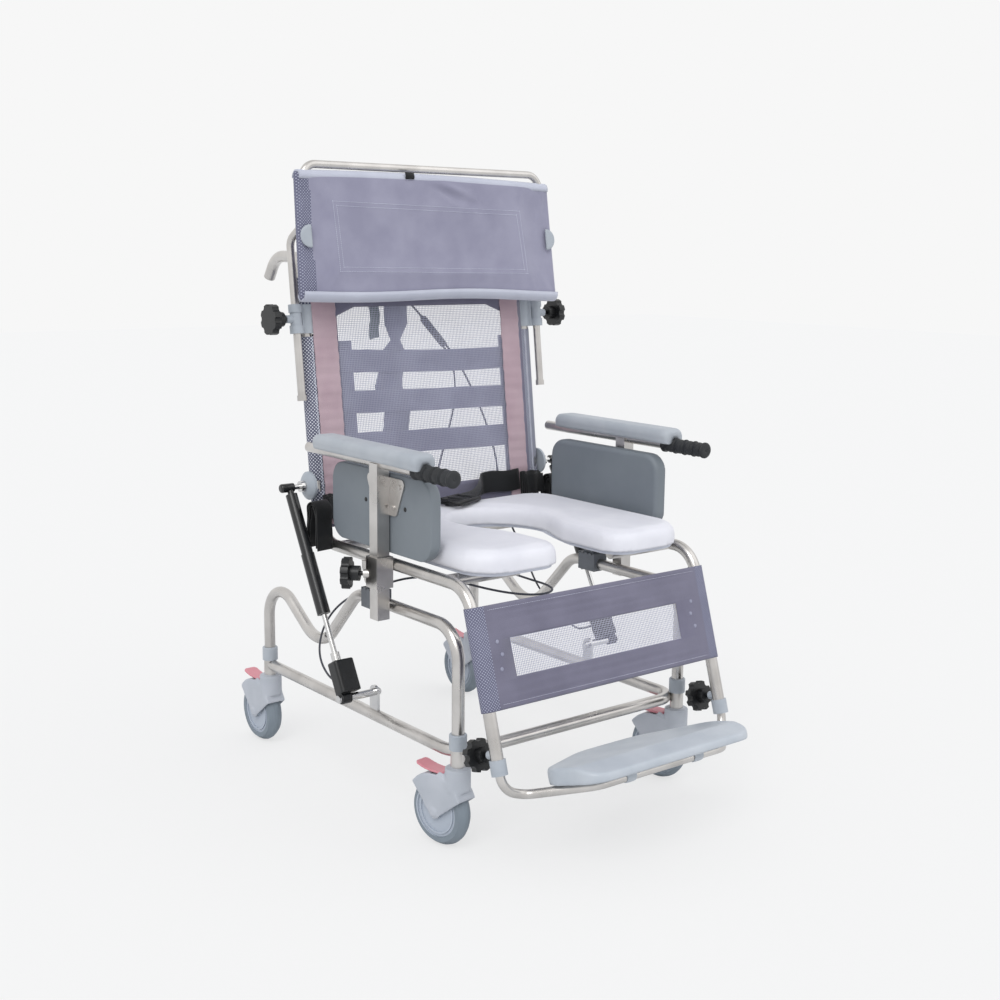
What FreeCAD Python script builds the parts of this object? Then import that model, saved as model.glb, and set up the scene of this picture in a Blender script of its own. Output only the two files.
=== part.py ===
import FreeCAD, Part
import math
import os

# Tilt-in-space shower chair, millimetres. Z is up, the sitter faces -Y, the floor is at height zero.
# The sitter's left hand is on +X. Places along the chair are distances behind the front caster posts.
# Pieces of the left side are drawn on +X and mirrored to make the right side.

# Base frame
tube_diameter = 22.0
tube_wall = 1.5
frame_half_width = 263.0
front_post_y = -241.5
wheelbase = 651.0
rail_height = 171.0
rail_corner_radius = 42.0
rail_front = 5.0
post_diameter = 25.4
post_wall = 2.0
post_bottom = 149.6
post_top = 192.0
collar_diameter = 31.0
collar_length = 27.0
collar_middle = 195.0
rear_hump_corner_height = 386.0
rear_hump_radius = 59.0
dip_back = 447.0
dip_corner_height = 250.0
dip_radius = 75.0
front_hump_back = 312.5
front_hump_height = 391.0
front_hump_radius = 60.0
front_bend_radius = 57.0
hump_tube_start = 186.0

# Tilt pivot
pivot_back = 251.0
pivot_height = 432.0
pivot_pin_diameter = 10.0
pivot_neck_radius = 13.0
pivot_neck_width = 24.0
saddle_length = 48.0
saddle_wall = 6.0
saddle_top = 413.0
saddle_rib_width = 3.0
saddle_groove_count = 4
clevis_wall = 4.0
clevis_length = 44.0
clevis_base = 3.5
running_clearance = 0.05
side_clearance = 0.3
pin_head_diameter = 17.0
pin_head_height = 4.0

# Tilting side tubes: calf, seat, back and push handle are one bent tube on each side
calf_end_back = -114.5
calf_end_height = 174.0
front_corner_back = -24.6
seat_height = 468.0
front_corner_radius = 58.0
rear_corner_back = 441.0
rear_corner_radius = 60.0
recline = 7.0
handle_above_sling = 39.0
handle_bend_radius = 36.0
handle_reach = 89.6
grip_bend_radius = 50.0
grip_reach = 28.0
grip_drop = 41.0

# Cross members of the tilting frame
rear_bar_back = 372.0
back_bar_above_seat = 62.0
front_bar_back = 35.0
front_bar_length = 150.0
bar_plug_length = 5.0
bar_plug_wall = 1.5

# Seat
board_thickness = 6.0
board_inset = 7.0
cushion_half_width = 247.0
cushion_front = -38.0
cushion_rear = 402.0
cushion_thickness = 38.0
cushion_corner_radius = 70.0
cushion_crown = 9.0
cushion_drawn_in = 8.0
aperture_front_half_width = 56.0
aperture_half_width = 92.0
aperture_widest = 215.0
aperture_rear = 325.0
aperture_neck = 95.0
lobe_radius_share = 0.25
neck_side_share = 0.385
neck_length_share = 0.455

# Back sling with its tension straps
sling_thickness = 3.0
sling_gap = 0.3
sleeve_trim = 0.8
sling_above_seat = 24.0
sling_height = 470.0
window_half_width = 200.0
window_bottom_margin = 56.0
window_top_margin = 54.0
net_columns = 10
net_rows = 9
net_bar = 7.0
strap_height = 42.0
strap_thickness = 2.5
strap_pitch_share = 0.172
strap_first_share = 0.317
strap_count = 3
strap_gap_behind = 10.0

# Calf panel
panel_top_height = 436.0
panel_bottom_height = 270.0
panel_thickness = 3.0
calf_window_half_width = 190.0
calf_window_height = 58.0
calf_net_columns = 10
calf_net_rows = 2

# Armrests
arm_half_width = 292.0
arm_post_size = 25.0
arm_post_wall = 2.0
arm_post_back = 195.5
arm_post_bottom = 372.0
arm_rail_height = 652.0
arm_rail_diameter = 19.0
arm_rail_rear = 432.0
arm_rail_front = -26.0
arm_pad_rear = 398.0
arm_pad_front = 22.0
arm_pad_width = 52.0
arm_pad_top = 684.0
arm_pad_bottom = 655.0
arm_pad_end_radius = 18.0
arm_pad_edge_radius = 9.0
grip_length = 108.0
grip_diameter = 30.0
grip_swell_count = 4
grip_swell_depth = 2.2
grip_swell_steps = 4
grip_flange_length = 9.0
grip_end_wall = 4.0
grip_clearance = 1.0
side_panel_thickness = 25.0
side_panel_rear = 376.0
side_panel_front = 62.0
side_panel_top = 634.0
side_panel_bottom = 491.5
side_panel_corner = 34.0
side_panel_edge_radius = 9.0
panel_plate_thickness = 3.0
panel_plate_top = 627.0
panel_plate_bottom = 560.0
panel_plate_half_top = 62.0
panel_plate_half_bottom = 34.0
panel_screw_diameter = 9.0
panel_screw_height = 2.5
panel_screw_drop = 14.4
panel_screw_side = 18.0
panel_screw_low_side = 9.0
socket_bottom = 430.0
socket_top = 486.0
socket_wall = 4.5
socket_clearance = 0.3

# Headrest
leg_half_width = 290.0
leg_diameter = 15.0
leg_end_below_clamp = 150.0
clamp_below_sling_top = 77.0
leg_forward = 15.0
leg_bend_above_clamp = 144.0
leg_bend_radius = 22.0
cover_rod_half_width = 284.0
cover_rod_above_bend = 26.0
cover_rod_forward = 61.0
top_bar_half_width = 279.0
top_bar_above_bend = 133.0
top_bar_radius = 28.0
cover_half_width = 300.0
cover_bottom_half_width = 308.0
cover_bottom_below_bend = 116.0
cover_top_above_bend = 114.0
cover_depth = 34.0
cover_rear_forward = 46.0
cover_corner_radius = 26.0
cover_rear_inset = 8.0
cover_front_inset = 12.0
cover_waist_share = 0.45
leg_cap_length = 9.0
leg_cap_wall = 1.5

# Tube clamps for the headrest legs and the footrest legs
clamp_wall = 5.5
clamp_length = 54.0
clamp_ring_length = 15.0
sleeve_wall = 3.5
headrest_boss_reach = 14.0
boss_diameter = 15.0
calf_collar_length = 26.0
calf_collar_wall = 3.0
collar_lip = 4.0
calf_boss_reach = 9.0
arm_boss_reach = 4.0
press_gap = 0.3

# Star knobs
knob_diameter = 57.0
knob_thickness = 14.0
knob_lobes = 8
knob_notch_radius = 7.0
knob_notch_share = 0.45
knob_hub_diameter = 27.0
knob_hub_length = 16.0
knob_stud_diameter = 8.0
knob_stud_free = 7.0
calf_knob_above_end = 30.0

# Footrest
foot_tube_diameter = 16.0
foot_leg_inside = 190.0
foot_leg_drop = 30.0
foot_drop = 45.0
foot_diagonal_half_width = 222.0
foot_diagonal_forward = 4.0
foot_bar_half_width = 148.0
foot_bar_forward = 105.0
foot_leg_radius = 36.0
foot_side_radius = 32.0
foot_bar_radius = 34.0
foot_plate_gap = 6.0
plate_half_width = 205.0
plate_rear_half_width = 70.0
plate_front_half_width = 185.0
plate_rear = -36.0
plate_rear_side = 38.0
plate_front = 150.0
plate_thickness = 30.0
plate_edge_radius = 6.0
plate_corner_radius = 40.0
plate_rear_radius = 120.0
plate_front_slope = 18.0
plate_slope_start = 104.0
plate_clip_width = 26.0
plate_clip_wall = 2.5
plate_clip_half_spacing = 80.0

# Gas springs
spring_half_width = 323.0
spring_top_above_seat = 106.0
spring_base_back = 258.0
spring_base_height = 215.0
spring_pin_diameter = 10.0
elbow_diameter = 17.0
elbow_neck_diameter = 12.0
eye_inboard = 7.5
eye_outboard = 20.0
eye_end_wall = 4.0
cylinder_start = 14.0
cylinder_end = 249.0
cylinder_diameter = 22.0
cylinder_bore = 13.0
cylinder_bore_start = 22.0
sleeve_start = 132.0
sleeve_diameter = 25.0
rod_diameter = 10.0
rod_start = 92.0
rod_socket = 12.0
spring_neck_diameter = 17.0
spring_neck_length = 16.0
head_reach = 69.5
head_start = 9.0
head_inboard = 27.0
head_outboard = 14.0
head_thickness = 32.0
head_edge_radius = 6.0
head_boss_diameter = 20.0
boss_inboard = 7.0
spacer_diameter = 14.0
pin_collar_diameter = 21.0
pin_collar_length = 10.0
disc_diameter = 54.0
disc_thickness = 13.0
disc_edge = 5.0
disc_gap = 0.7
bracket_thickness = 5.0
bracket_width = 26.0
dome_nut_diameter = 15.0
dome_nut_length = 9.0

# Casters
wheel_diameter = 125.0
wheel_width = 30.0
wheel_shoulder = 8.0
wheel_tread_steps = 6
wheel_recess_diameter = 92.0
wheel_recess_depth = 2.5
wheel_ring_diameter = 74.0
wheel_ring_width = 3.0
wheel_hub_width = 33.0
wheel_hub_diameter = 26.0
caster_trail = 38.0
front_caster_yaw = 9.0
fork_wall = 4.0
fork_inner_width = 34.5
fork_housing_diameter = 45.0
fork_housing_bottom = 108.0
fork_top = 149.2
hood_gap = 3.0
hood_front_angle = 152.0
hood_rear_angle = 38.0
hood_foot_radius = 13.0
foot_rear_angle = -25.0
foot_front_angle = 205.0
hood_shave_angle = 8.0
axle_diameter = 8.0
axle_head_diameter = 15.0
axle_head_height = 3.0
stem_clearance = 0.2
stem_length = 36.0
pedal_width = 30.0
pedal_length = 66.0
pedal_thickness = 4.0
pedal_height = 137.0
pedal_pin_back = 25.0
pedal_ear_width = 4.0
pedal_hub_radius = 5.5
pedal_pin_diameter = 5.0

# Lap belt
belt_width = 44.0
belt_thickness = 3.0
belt_below_pin = 33.0
belt_gap = 0.4
belt_twist_end = 118.0
buckle_length = 80.0
buckle_width = 52.0
buckle_height = 14.0
buckle_middle = 6.0
buckle_back = 366.0
buckle_turn = 20.0
fold_start = 214.0
fold_end = 290.0
fold_thickness = 26.0
fold_bottom_below_pin = 68.0
fold_top_below_pin = 17.0
flap_thickness = 12.0
flap_bottom_below_pin = 116.0
flap_top_below_pin = 34.0
flap_width = 42.0

# Tilt release lever and its cables
lever_below_handle = 25.0
lever_length = 64.0
lever_width = 15.0
lever_thickness = 5.0
lever_pin_diameter = 6.0
lever_pin_reach = 20.0
lever_fork_width = 20.0
lever_ear_width = 4.0
lever_hub_radius = 6.0
lever_base_height = 22.0
cable_diameter = 4.0
cable_arc_share = 0.45
splitter_diameter = 14.0
splitter_top = (22.0, 511.0, 880.0)
splitter_bottom = (70.0, 504.0, 825.0)

# Routes of the cables: beside the middle, behind the front posts, above the floor
upper_route = [(-238.3, 503.5, 967.4), (-196.0, 506.0, 966.5), (-148.0, 513.0, 965.0),
               (-98.0, 520.0, 957.0), (-46.0, 520.5, 941.0), (-5.5, 515.0, 911.5),
               splitter_top]
right_route = [(67.3, 504.0, 822.6), (80.4, 502.1, 807.6), (89.5, 498.5, 781.0),
               (92.5, 495.0, 747.0), (88.0, 490.5, 708.0), (74.5, 485.5, 669.0),
               (56.0, 479.5, 628.0), (40.0, 475.0, 590.0), (26.0, 470.5, 552.0),
               (13.0, 466.0, 512.0), (2.0, 452.0, 478.0), (-6.0, 424.0, 452.0),
               (-12.0, 386.0, 442.0), (-17.0, 345.0, 438.5), (-22.0, 300.0, 436.0),
               (-28.0, 255.0, 433.5), (-30.5, 210.0, 432.5), (-35.5, 165.0, 430.5),
               (-38.0, 120.0, 430.0), (-37.0, 78.0, 429.0), (-40.0, 38.0, 430.0),
               (-53.0, 2.0, 430.5), (-84.0, -20.0, 432.0), (-122.0, -22.0, 435.0),
               (-155.0, -3.0, 439.0), (-178.0, 30.0, 443.0), (-193.0, 70.0, 446.5),
               (-206.0, 112.0, 449.0), (-218.0, 155.0, 446.0), (-228.0, 198.0, 437.0),
               (-233.0, 237.0, 424.0), (-234.0, 275.0, 409.0), (-235.0, 295.0, 401.5)]
right_tail = [(-235.0, 295.0, 401.5), (-236.0, 315.0, 394.0), (-240.0, 355.0, 377.0),
              (-246.0, 390.0, 357.0), (-256.0, 415.0, 332.0), (-270.0, 425.0, 303.0),
              (-286.0, 416.0, 272.0), (-297.0, 394.0, 248.0), (-302.0, 361.0, 229.0),
              (-304.0, 325.0, 222.7), (-304.0, 290.9, 241.4)]
left_route = [(72.7, 504.0, 827.4), (85.8, 502.1, 812.4), (103.0, 499.5, 790.0),
              (118.0, 497.0, 764.0), (132.0, 494.0, 738.0), (146.0, 490.5, 708.0),
              (160.0, 487.0, 677.0), (171.0, 483.0, 644.0), (181.0, 478.5, 610.0),
              (187.0, 474.0, 575.0), (189.0, 470.0, 540.0), (190.0, 464.0, 506.0),
              (193.0, 452.0, 474.0), (200.0, 438.0, 444.0), (211.0, 429.0, 413.0),
              (218.5, 427.0, 397.5)]
left_tail = [(218.5, 427.0, 397.5), (226.0, 425.0, 382.0), (241.0, 426.0, 352.0),
             (256.0, 430.0, 326.0), (270.0, 427.0, 300.0), (286.0, 416.0, 272.0),
             (297.0, 394.0, 248.0), (302.0, 361.0, 229.0), (304.0, 325.0, 222.7),
             (304.0, 290.9, 241.4)]

side_names = ((1, "left"), (-1, "right"))
corner_names = ((1, 0.0, "front_left"), (-1, 0.0, "front_right"),
                (1, wheelbase, "rear_left"), (-1, wheelbase, "rear_right"))


# Small helpers
def point(x, back, height):
    """A place from its distance beside the middle, behind the front posts and above the floor."""
    return FreeCAD.Vector(x, front_post_y + back, height)


def direction(x, y, z):
    """A unit vector along the given direction."""
    vector = FreeCAD.Vector(x, y, z)
    vector.normalize()
    return vector


def rounded_path(points, radii):
    """Straight runs through the points, joined by tangent arcs of the given radii."""
    edges = []
    start = points[0]
    for corner, following, radius in zip(points[1:-1], points[2:], radii):
        before = (corner - start).normalize()
        after = (following - corner).normalize()
        turn = before.getAngle(after)
        reach = radius * math.tan(turn / 2)
        depth = radius / math.cos(turn / 2) - radius
        arc_start = corner - before * reach
        arc_end = corner + after * reach
        inward = (after - before).normalize()
        edges.append(Part.LineSegment(start, arc_start).toShape())
        edges.append(Part.Arc(arc_start, corner + inward * depth, arc_end).toShape())
        start = arc_end
    edges.append(Part.LineSegment(start, points[-1]).toShape())
    return Part.Wire(edges)


def sweep(path, profile):
    """A solid that carries a closed profile along a path."""
    return path.makePipeShell([profile], True, False)


def round_bar(points, radii, diameter):
    """A solid round bar bent along the points."""
    path = rounded_path(points, radii)
    circle = Part.makeCircle(diameter / 2, points[0], points[1] - points[0])
    return sweep(path, Part.Wire(circle))


def bent_tube(points, radii, diameter, wall):
    """A hollow round tube bent along the points."""
    outside = round_bar(points, radii, diameter)
    return outside.cut(round_bar(points, radii, diameter - 2 * wall))


def rod_between(start, end, diameter):
    """A straight round rod from one place to another."""
    along = end - start
    return Part.makeCylinder(diameter / 2, along.Length, start, along)


def cross_rod(x_start, x_end, back, height, diameter):
    """A straight round rod that runs across the chair."""
    return rod_between(point(x_start, back, height), point(x_end, back, height), diameter)


def box(x_start, x_end, back_start, back_end, bottom, top):
    """A plain block between the given limits."""
    corner = point(x_start, back_start, bottom)
    return Part.makeBox(x_end - x_start, back_end - back_start, top - bottom, corner)


def plate_along_x(outline, x_start, x_end):
    """A flat plate across the chair: its outline is a closed list of (back, height)."""
    corners = [point(x_start, back, height) for back, height in outline]
    face = Part.Face(Part.makePolygon(corners + corners[:1]))
    return face.extrude(FreeCAD.Vector(x_end - x_start, 0, 0))


def other_side(shape):
    """The same shape on the sitter's right."""
    return shape.mirror(FreeCAD.Vector(0, 0, 0), FreeCAD.Vector(1, 0, 0))


def on_side(shape, side):
    """The shape itself for the left side, its mirror for the right side."""
    return shape if side > 0 else other_side(shape)


def both_sides(shapes):
    """The given solids and their mirrors."""
    return list(shapes) + [other_side(shape) for shape in shapes]


def edges_where(shape, keep):
    """The edges of a shape whose middle passes a test."""
    return [edge for edge in shape.Edges if keep(edge.CenterOfMass)]


def export(name, shapes):
    """Writes one node as a STEP file."""
    solids = []
    for shape in shapes if isinstance(shapes, list) else [shapes]:
        solids.extend(shape.Solids)
    Part.Compound(solids).exportStep(os.path.join("parts", name + ".step"))


# Places that several pieces share
tube_radius = tube_diameter / 2
recline_slope = math.tan(math.radians(recline))
calf_slope = (front_corner_back - calf_end_back) / (seat_height - calf_end_height)
calf_down = direction(0, -calf_slope, -1)
calf_forward = direction(0, -1, calf_slope)
back_up = direction(0, recline_slope, 1)
back_forward = direction(0, -1, recline_slope)
board_bottom = seat_height + tube_radius + sling_gap
board_top = board_bottom + board_thickness
cushion_top = board_top + cushion_thickness
back_bar_height = seat_height + back_bar_above_seat
sling_bottom = seat_height + sling_above_seat
sling_top = sling_bottom + sling_height
window_bottom = sling_bottom + window_bottom_margin
window_top = sling_top - window_top_margin
strap_first = sling_bottom + strap_first_share * sling_height
strap_pitch = strap_pitch_share * sling_height
handle_height = sling_top + handle_above_sling
clamp_height = sling_top - clamp_below_sling_top
leg_end_height = clamp_height - leg_end_below_clamp
leg_bend_height = clamp_height + leg_bend_above_clamp
cover_rod_height = leg_bend_height + cover_rod_above_bend
top_bar_height = leg_bend_height + top_bar_above_bend
cover_bottom = leg_bend_height - cover_bottom_below_bend
cover_top = leg_bend_height + cover_top_above_bend
spring_top_height = seat_height + spring_top_above_seat
belt_height = spring_top_height - belt_below_pin
fold_bottom = spring_top_height - fold_bottom_below_pin
fold_top = spring_top_height - fold_top_below_pin
flap_bottom = spring_top_height - flap_bottom_below_pin
flap_top = spring_top_height - flap_top_below_pin
lever_height = handle_height - lever_below_handle
arm_knob_axis = direction(1, 1, 0)


def back_tube_at(height):
    """Distance of the back tube's axis behind the front posts at a height."""
    return rear_corner_back + (height - seat_height) * recline_slope


def calf_tube_at(height):
    """Distance of the calf tube's axis behind the front posts at a height."""
    return front_corner_back - (seat_height - height) * calf_slope


def place_on_back(x, height, forward):
    """A place at a distance forward of the back tubes' axes, square to the recline."""
    return point(x, back_tube_at(height), height) + back_forward * forward


def bend_reach(radius, turn):
    """Length from a corner to the end of its arc, for a turn in degrees."""
    return radius * math.tan(math.radians(turn / 2))


def foot_point(x, forward, down):
    """A place in the footrest: forward of the calf tube's axis and below its lower end."""
    return point(x, calf_end_back, calf_end_height) + calf_forward * forward + calf_down * down


# Base
def hump_tube():
    """Side tube of the base, with the rear hump, the dip and the front hump."""
    corners = [point(frame_half_width, wheelbase, hump_tube_start),
               point(frame_half_width, wheelbase, rear_hump_corner_height),
               point(frame_half_width, dip_back, dip_corner_height),
               point(frame_half_width, front_hump_back, front_hump_height),
               point(frame_half_width, 0, front_hump_height),
               point(frame_half_width, 0, hump_tube_start)]
    radii = [rear_hump_radius, dip_radius, front_hump_radius, front_bend_radius]
    return bent_tube(corners, radii, tube_diameter, tube_wall)


def caster_post(x, back):
    """Upright sleeve that the hump tube plugs into and the caster stem turns in."""
    outside = rod_between(point(x, back, post_bottom), point(x, back, post_top), post_diameter)
    bore = tube_diameter + 2 * sling_gap
    return outside.cut(rod_between(point(x, back, post_bottom), point(x, back, post_top), bore))


def lower_frame():
    """The U rail near the floor, open at the rear, with the four posts welded on."""
    corners = [point(-frame_half_width, wheelbase, rail_height),
               point(-frame_half_width, rail_front, rail_height),
               point(frame_half_width, rail_front, rail_height),
               point(frame_half_width, wheelbase, rail_height)]
    radii = [rail_corner_radius, rail_corner_radius]
    rail = bent_tube(corners, radii, tube_diameter, tube_wall)
    posts = []
    for side, back, _ in corner_names:
        x = side * frame_half_width
        core = rod_between(point(x, back, post_bottom), point(x, back, post_top), post_diameter)
        rail = rail.cut(core)
        posts.append(caster_post(x, back))
    return [rail] + posts


def post_collars():
    """Grey plastic collars over the joints of the posts and the hump tubes."""
    collars = []
    low = collar_middle - collar_length / 2
    high = collar_middle + collar_length / 2
    for side, back, _ in corner_names:
        x = side * frame_half_width
        ring = rod_between(point(x, back, low), point(x, back, high), collar_diameter)
        ring = ring.makeChamfer(sling_thickness / 2, edges_where(ring, lambda c: c.z > high - sling_gap))
        upper = rod_between(point(x, back, low), point(x, back, high), tube_diameter + sling_gap)
        lower = rod_between(point(x, back, low), point(x, back, post_top), post_diameter + sling_gap)
        rail = rod_between(point(x, rail_front, rail_height), point(x, wheelbase, rail_height),
                           tube_diameter + sling_gap)
        collars.append(ring.cut([upper, lower, rail]))
    return collars


def pivot_saddle():
    """Ribbed block clamped on the hump tube, with the neck that the tilt pin turns in."""
    half = tube_radius + saddle_wall
    front = pivot_back - saddle_length / 2
    rear = pivot_back + saddle_length / 2
    bottom = front_hump_height - tube_radius - saddle_wall / 2
    block = box(frame_half_width - half, frame_half_width + half, front, rear, bottom, saddle_top)
    pitch = saddle_length / saddle_groove_count
    for step in range(saddle_groove_count):
        groove = front + (step + 1 / 2) * pitch
        low = saddle_top - saddle_rib_width
        block = block.cut(box(frame_half_width - half, frame_half_width + half,
                              groove, groove + saddle_rib_width, low, saddle_top))
    neck_start = frame_half_width - pivot_neck_width / 2
    neck_end = frame_half_width + pivot_neck_width / 2
    neck = cross_rod(neck_start, neck_end, pivot_back, pivot_height, 2 * pivot_neck_radius)
    stand = box(neck_start, neck_end, pivot_back - pivot_neck_radius,
                pivot_back + pivot_neck_radius, saddle_top - 2 * saddle_rib_width, pivot_height)
    body = block.fuse([neck, stand]).removeSplitter()
    tube = rod_between(point(frame_half_width, front - saddle_wall, front_hump_height),
                       point(frame_half_width, rear + saddle_wall, front_hump_height),
                       tube_diameter)
    bore = cross_rod(neck_start - saddle_wall, neck_end + saddle_wall, pivot_back, pivot_height,
                     pivot_pin_diameter + 2 * running_clearance)
    return body.cut(tube).cut(bore)


def tilt_hinge():
    """Clevis welded under the seat tube, and the headed pin through it."""
    inner = pivot_neck_width / 2 + side_clearance
    outer = inner + clevis_wall
    front = pivot_back - clevis_length / 2
    rear = pivot_back + clevis_length / 2
    top = seat_height - tube_radius / 2
    under = seat_height - tube_radius - clevis_base
    left = frame_half_width - outer
    right = frame_half_width + outer
    clevis = box(left, right, front, rear, under, top)
    for start in (left, right - clevis_wall):
        cheek = plate_along_x([(front, under), (rear, under), (rear, under - clevis_base),
                               (pivot_back + pivot_neck_radius, pivot_height),
                               (pivot_back - pivot_neck_radius, pivot_height),
                               (front, under - clevis_base)], start, start + clevis_wall)
        eye = cross_rod(start, start + clevis_wall, pivot_back, pivot_height, 2 * pivot_neck_radius)
        clevis = clevis.fuse([cheek, eye])
    pin = cross_rod(left, right, pivot_back, pivot_height, pivot_pin_diameter)
    tube = rod_between(point(frame_half_width, front - clevis_wall, seat_height),
                       point(frame_half_width, rear + clevis_wall, seat_height), tube_diameter)
    clevis = clevis.removeSplitter().cut(pin).cut(tube)
    for start, end in ((left - pin_head_height, left), (right, right + pin_head_height)):
        pin = pin.fuse(cross_rod(start, end, pivot_back, pivot_height, pin_head_diameter))
    return [clevis, pin.removeSplitter()]


def spring_bracket():
    """Upright lug on the rail with its spacer, through bolt and domed nut."""
    lug_start = frame_half_width - bracket_thickness / 2
    lug_end = frame_half_width + bracket_thickness / 2
    half = bracket_width / 2
    lug = box(lug_start, lug_end, spring_base_back - half, spring_base_back + half,
              rail_height, spring_base_height)
    lug = lug.fuse(cross_rod(lug_start, lug_end, spring_base_back, spring_base_height,
                             bracket_width)).removeSplitter()
    rail = rod_between(point(frame_half_width, spring_base_back - bracket_width, rail_height),
                       point(frame_half_width, spring_base_back + bracket_width, rail_height),
                       tube_diameter)
    eye_start = spring_half_width - boss_inboard - side_clearance
    eye_end = spring_half_width + head_outboard + side_clearance
    bolt_end = eye_end + dome_nut_length / 2
    bolt = cross_rod(lug_start - dome_nut_length, bolt_end, spring_base_back, spring_base_height,
                     spring_pin_diameter)
    lug = lug.cut(rail).cut(bolt)
    spacer = cross_rod(lug_end, eye_start, spring_base_back, spring_base_height, spacer_diameter)
    nut = cross_rod(lug_start - dome_nut_length, lug_start, spring_base_back, spring_base_height,
                    dome_nut_diameter)
    nut_face = lug_start - dome_nut_length
    nut = nut.makeFillet(dome_nut_length / 2,
                         edges_where(nut, lambda c: c.x < nut_face + sling_gap))
    head = cross_rod(eye_end, bolt_end, spring_base_back, spring_base_height, spacer_diameter)
    bolt = bolt.fuse([nut, head]).removeSplitter()
    return [lug, spacer.cut(bolt), bolt]


# Casters
def caster_place(side, back):
    """Middle of a caster's swivel axis at floor level."""
    return point(side * frame_half_width, back, 0)


def turned(shape, side, back):
    """Moves a caster piece from the origin to its post; front casters stand a little askew."""
    yaw = front_caster_yaw if back == 0 else 0
    shape.rotate(FreeCAD.Vector(0, 0, 0), FreeCAD.Vector(0, 0, 1), yaw)
    shape.translate(caster_place(side, back))
    return shape


def axle_rod(x_start, x_end, diameter):
    """A rod on the wheel axle of a caster that stands at the origin."""
    start = FreeCAD.Vector(x_start, caster_trail, wheel_diameter / 2)
    end = FreeCAD.Vector(x_end, caster_trail, wheel_diameter / 2)
    return rod_between(start, end, diameter)


def caster_wheel():
    """Solid tyre and disc in one: rounded tread, sunk disc with a raised ring, bored hub."""
    radius = wheel_diameter / 2
    half = wheel_width / 2
    recess = wheel_recess_diameter / 2
    ring = wheel_ring_diameter / 2
    hub = wheel_hub_diameter / 2
    bore = axle_diameter / 2 + running_clearance
    floor = half - wheel_recess_depth
    side = [(bore, wheel_hub_width / 2), (hub, wheel_hub_width / 2), (hub, floor),
            (ring, floor), (ring, half), (ring + wheel_ring_width, half),
            (ring + wheel_ring_width, floor), (recess, floor), (recess, half)]
    tread = []
    for step in range(wheel_tread_steps + 1):
        share = step / wheel_tread_steps
        tread.append((radius - wheel_shoulder * (1 - math.sin(math.pi * share)),
                      half - wheel_width * share))
    flip = [(r, -x) for r, x in reversed(side)]
    corners = [FreeCAD.Vector(x, r, 0) for r, x in side + tread + flip]
    face = Part.Face(Part.makePolygon(corners + corners[:1]))
    wheel = face.revolve(FreeCAD.Vector(0, 0, 0), FreeCAD.Vector(1, 0, 0), 360)
    wheel.translate(FreeCAD.Vector(0, caster_trail, radius))
    return wheel


def caster_fork():
    """Hooded fork with its swivel housing and stem, the axle bolt, and ears for the pedal."""
    radius = wheel_diameter / 2
    half = fork_inner_width / 2 + fork_wall
    hood_radius = radius + hood_gap + fork_wall

    def around_axle(reach, angle):
        turn = math.radians(angle)
        return FreeCAD.Vector(-half, caster_trail + reach * math.cos(turn),
                              radius + reach * math.sin(turn))

    front = around_axle(hood_radius, hood_front_angle)
    rear = around_axle(hood_radius, hood_rear_angle)
    foot_rear = around_axle(hood_foot_radius, foot_rear_angle)
    foot_front = around_axle(hood_foot_radius, foot_front_angle)
    outline = [Part.Arc(front, around_axle(hood_radius, 90), rear),
               Part.LineSegment(rear, foot_rear),
               Part.Arc(foot_rear, around_axle(hood_foot_radius, -90), foot_front),
               Part.LineSegment(foot_front, front)]
    face = Part.Face(Part.Wire([piece.toShape() for piece in outline]))
    body = face.extrude(FreeCAD.Vector(2 * half, 0, 0))
    housing = Part.makeCylinder(fork_housing_diameter / 2, fork_top - fork_housing_bottom,
                                FreeCAD.Vector(0, 0, fork_housing_bottom))
    body = body.fuse(housing).removeSplitter()
    body = body.cut(axle_rod(-fork_inner_width / 2, fork_inner_width / 2,
                             2 * (radius + hood_gap)))
    pin_height = pedal_height - pedal_hub_radius
    reach = pedal_width / 2 + pedal_ear_width
    pin_start = FreeCAD.Vector(-reach, pedal_pin_back, pin_height)
    pin_end = FreeCAD.Vector(reach, pedal_pin_back, pin_height)
    room = pedal_hub_radius + side_clearance
    sweep_room = Part.makeBox(pedal_width + 2 * side_clearance, pedal_length,
                              pedal_length, FreeCAD.Vector(-pedal_width / 2 - side_clearance,
                                                           pedal_pin_back, pin_height))
    slope = math.radians(hood_shave_angle)
    shave = Part.makeBox(2 * reach, 2 * pedal_length, pedal_length,
                         FreeCAD.Vector(-reach, pedal_pin_back, pin_height))
    shave.rotate(FreeCAD.Vector(0, pedal_pin_back, pin_height), FreeCAD.Vector(1, 0, 0),
                 -math.degrees(slope))
    body = body.cut([rod_between(pin_start, pin_end, 2 * room), sweep_room, shave])
    ears = []
    for start in (-reach, pedal_width / 2 + side_clearance):
        ear_start = FreeCAD.Vector(start, pedal_pin_back, pin_height)
        ear_end = ear_start + FreeCAD.Vector(pedal_ear_width - side_clearance, 0, 0)
        ears.append(rod_between(ear_start, ear_end, 2 * room + pedal_pin_diameter / 2))
    ears.append(rod_between(pin_start, pin_end, pedal_pin_diameter))
    stem_diameter = tube_diameter + 2 * sling_gap - 2 * stem_clearance
    stem = Part.makeCylinder(stem_diameter / 2, stem_length + fork_wall,
                             FreeCAD.Vector(0, 0, fork_top - fork_wall))
    axle = axle_rod(-half - axle_head_height, half + axle_head_height, axle_diameter)
    heads = [axle_rod(-half - axle_head_height, -half, axle_head_diameter),
             axle_rod(half, half + axle_head_height, axle_head_diameter)]
    return body.fuse(ears + [stem, axle] + heads).removeSplitter()


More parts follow.
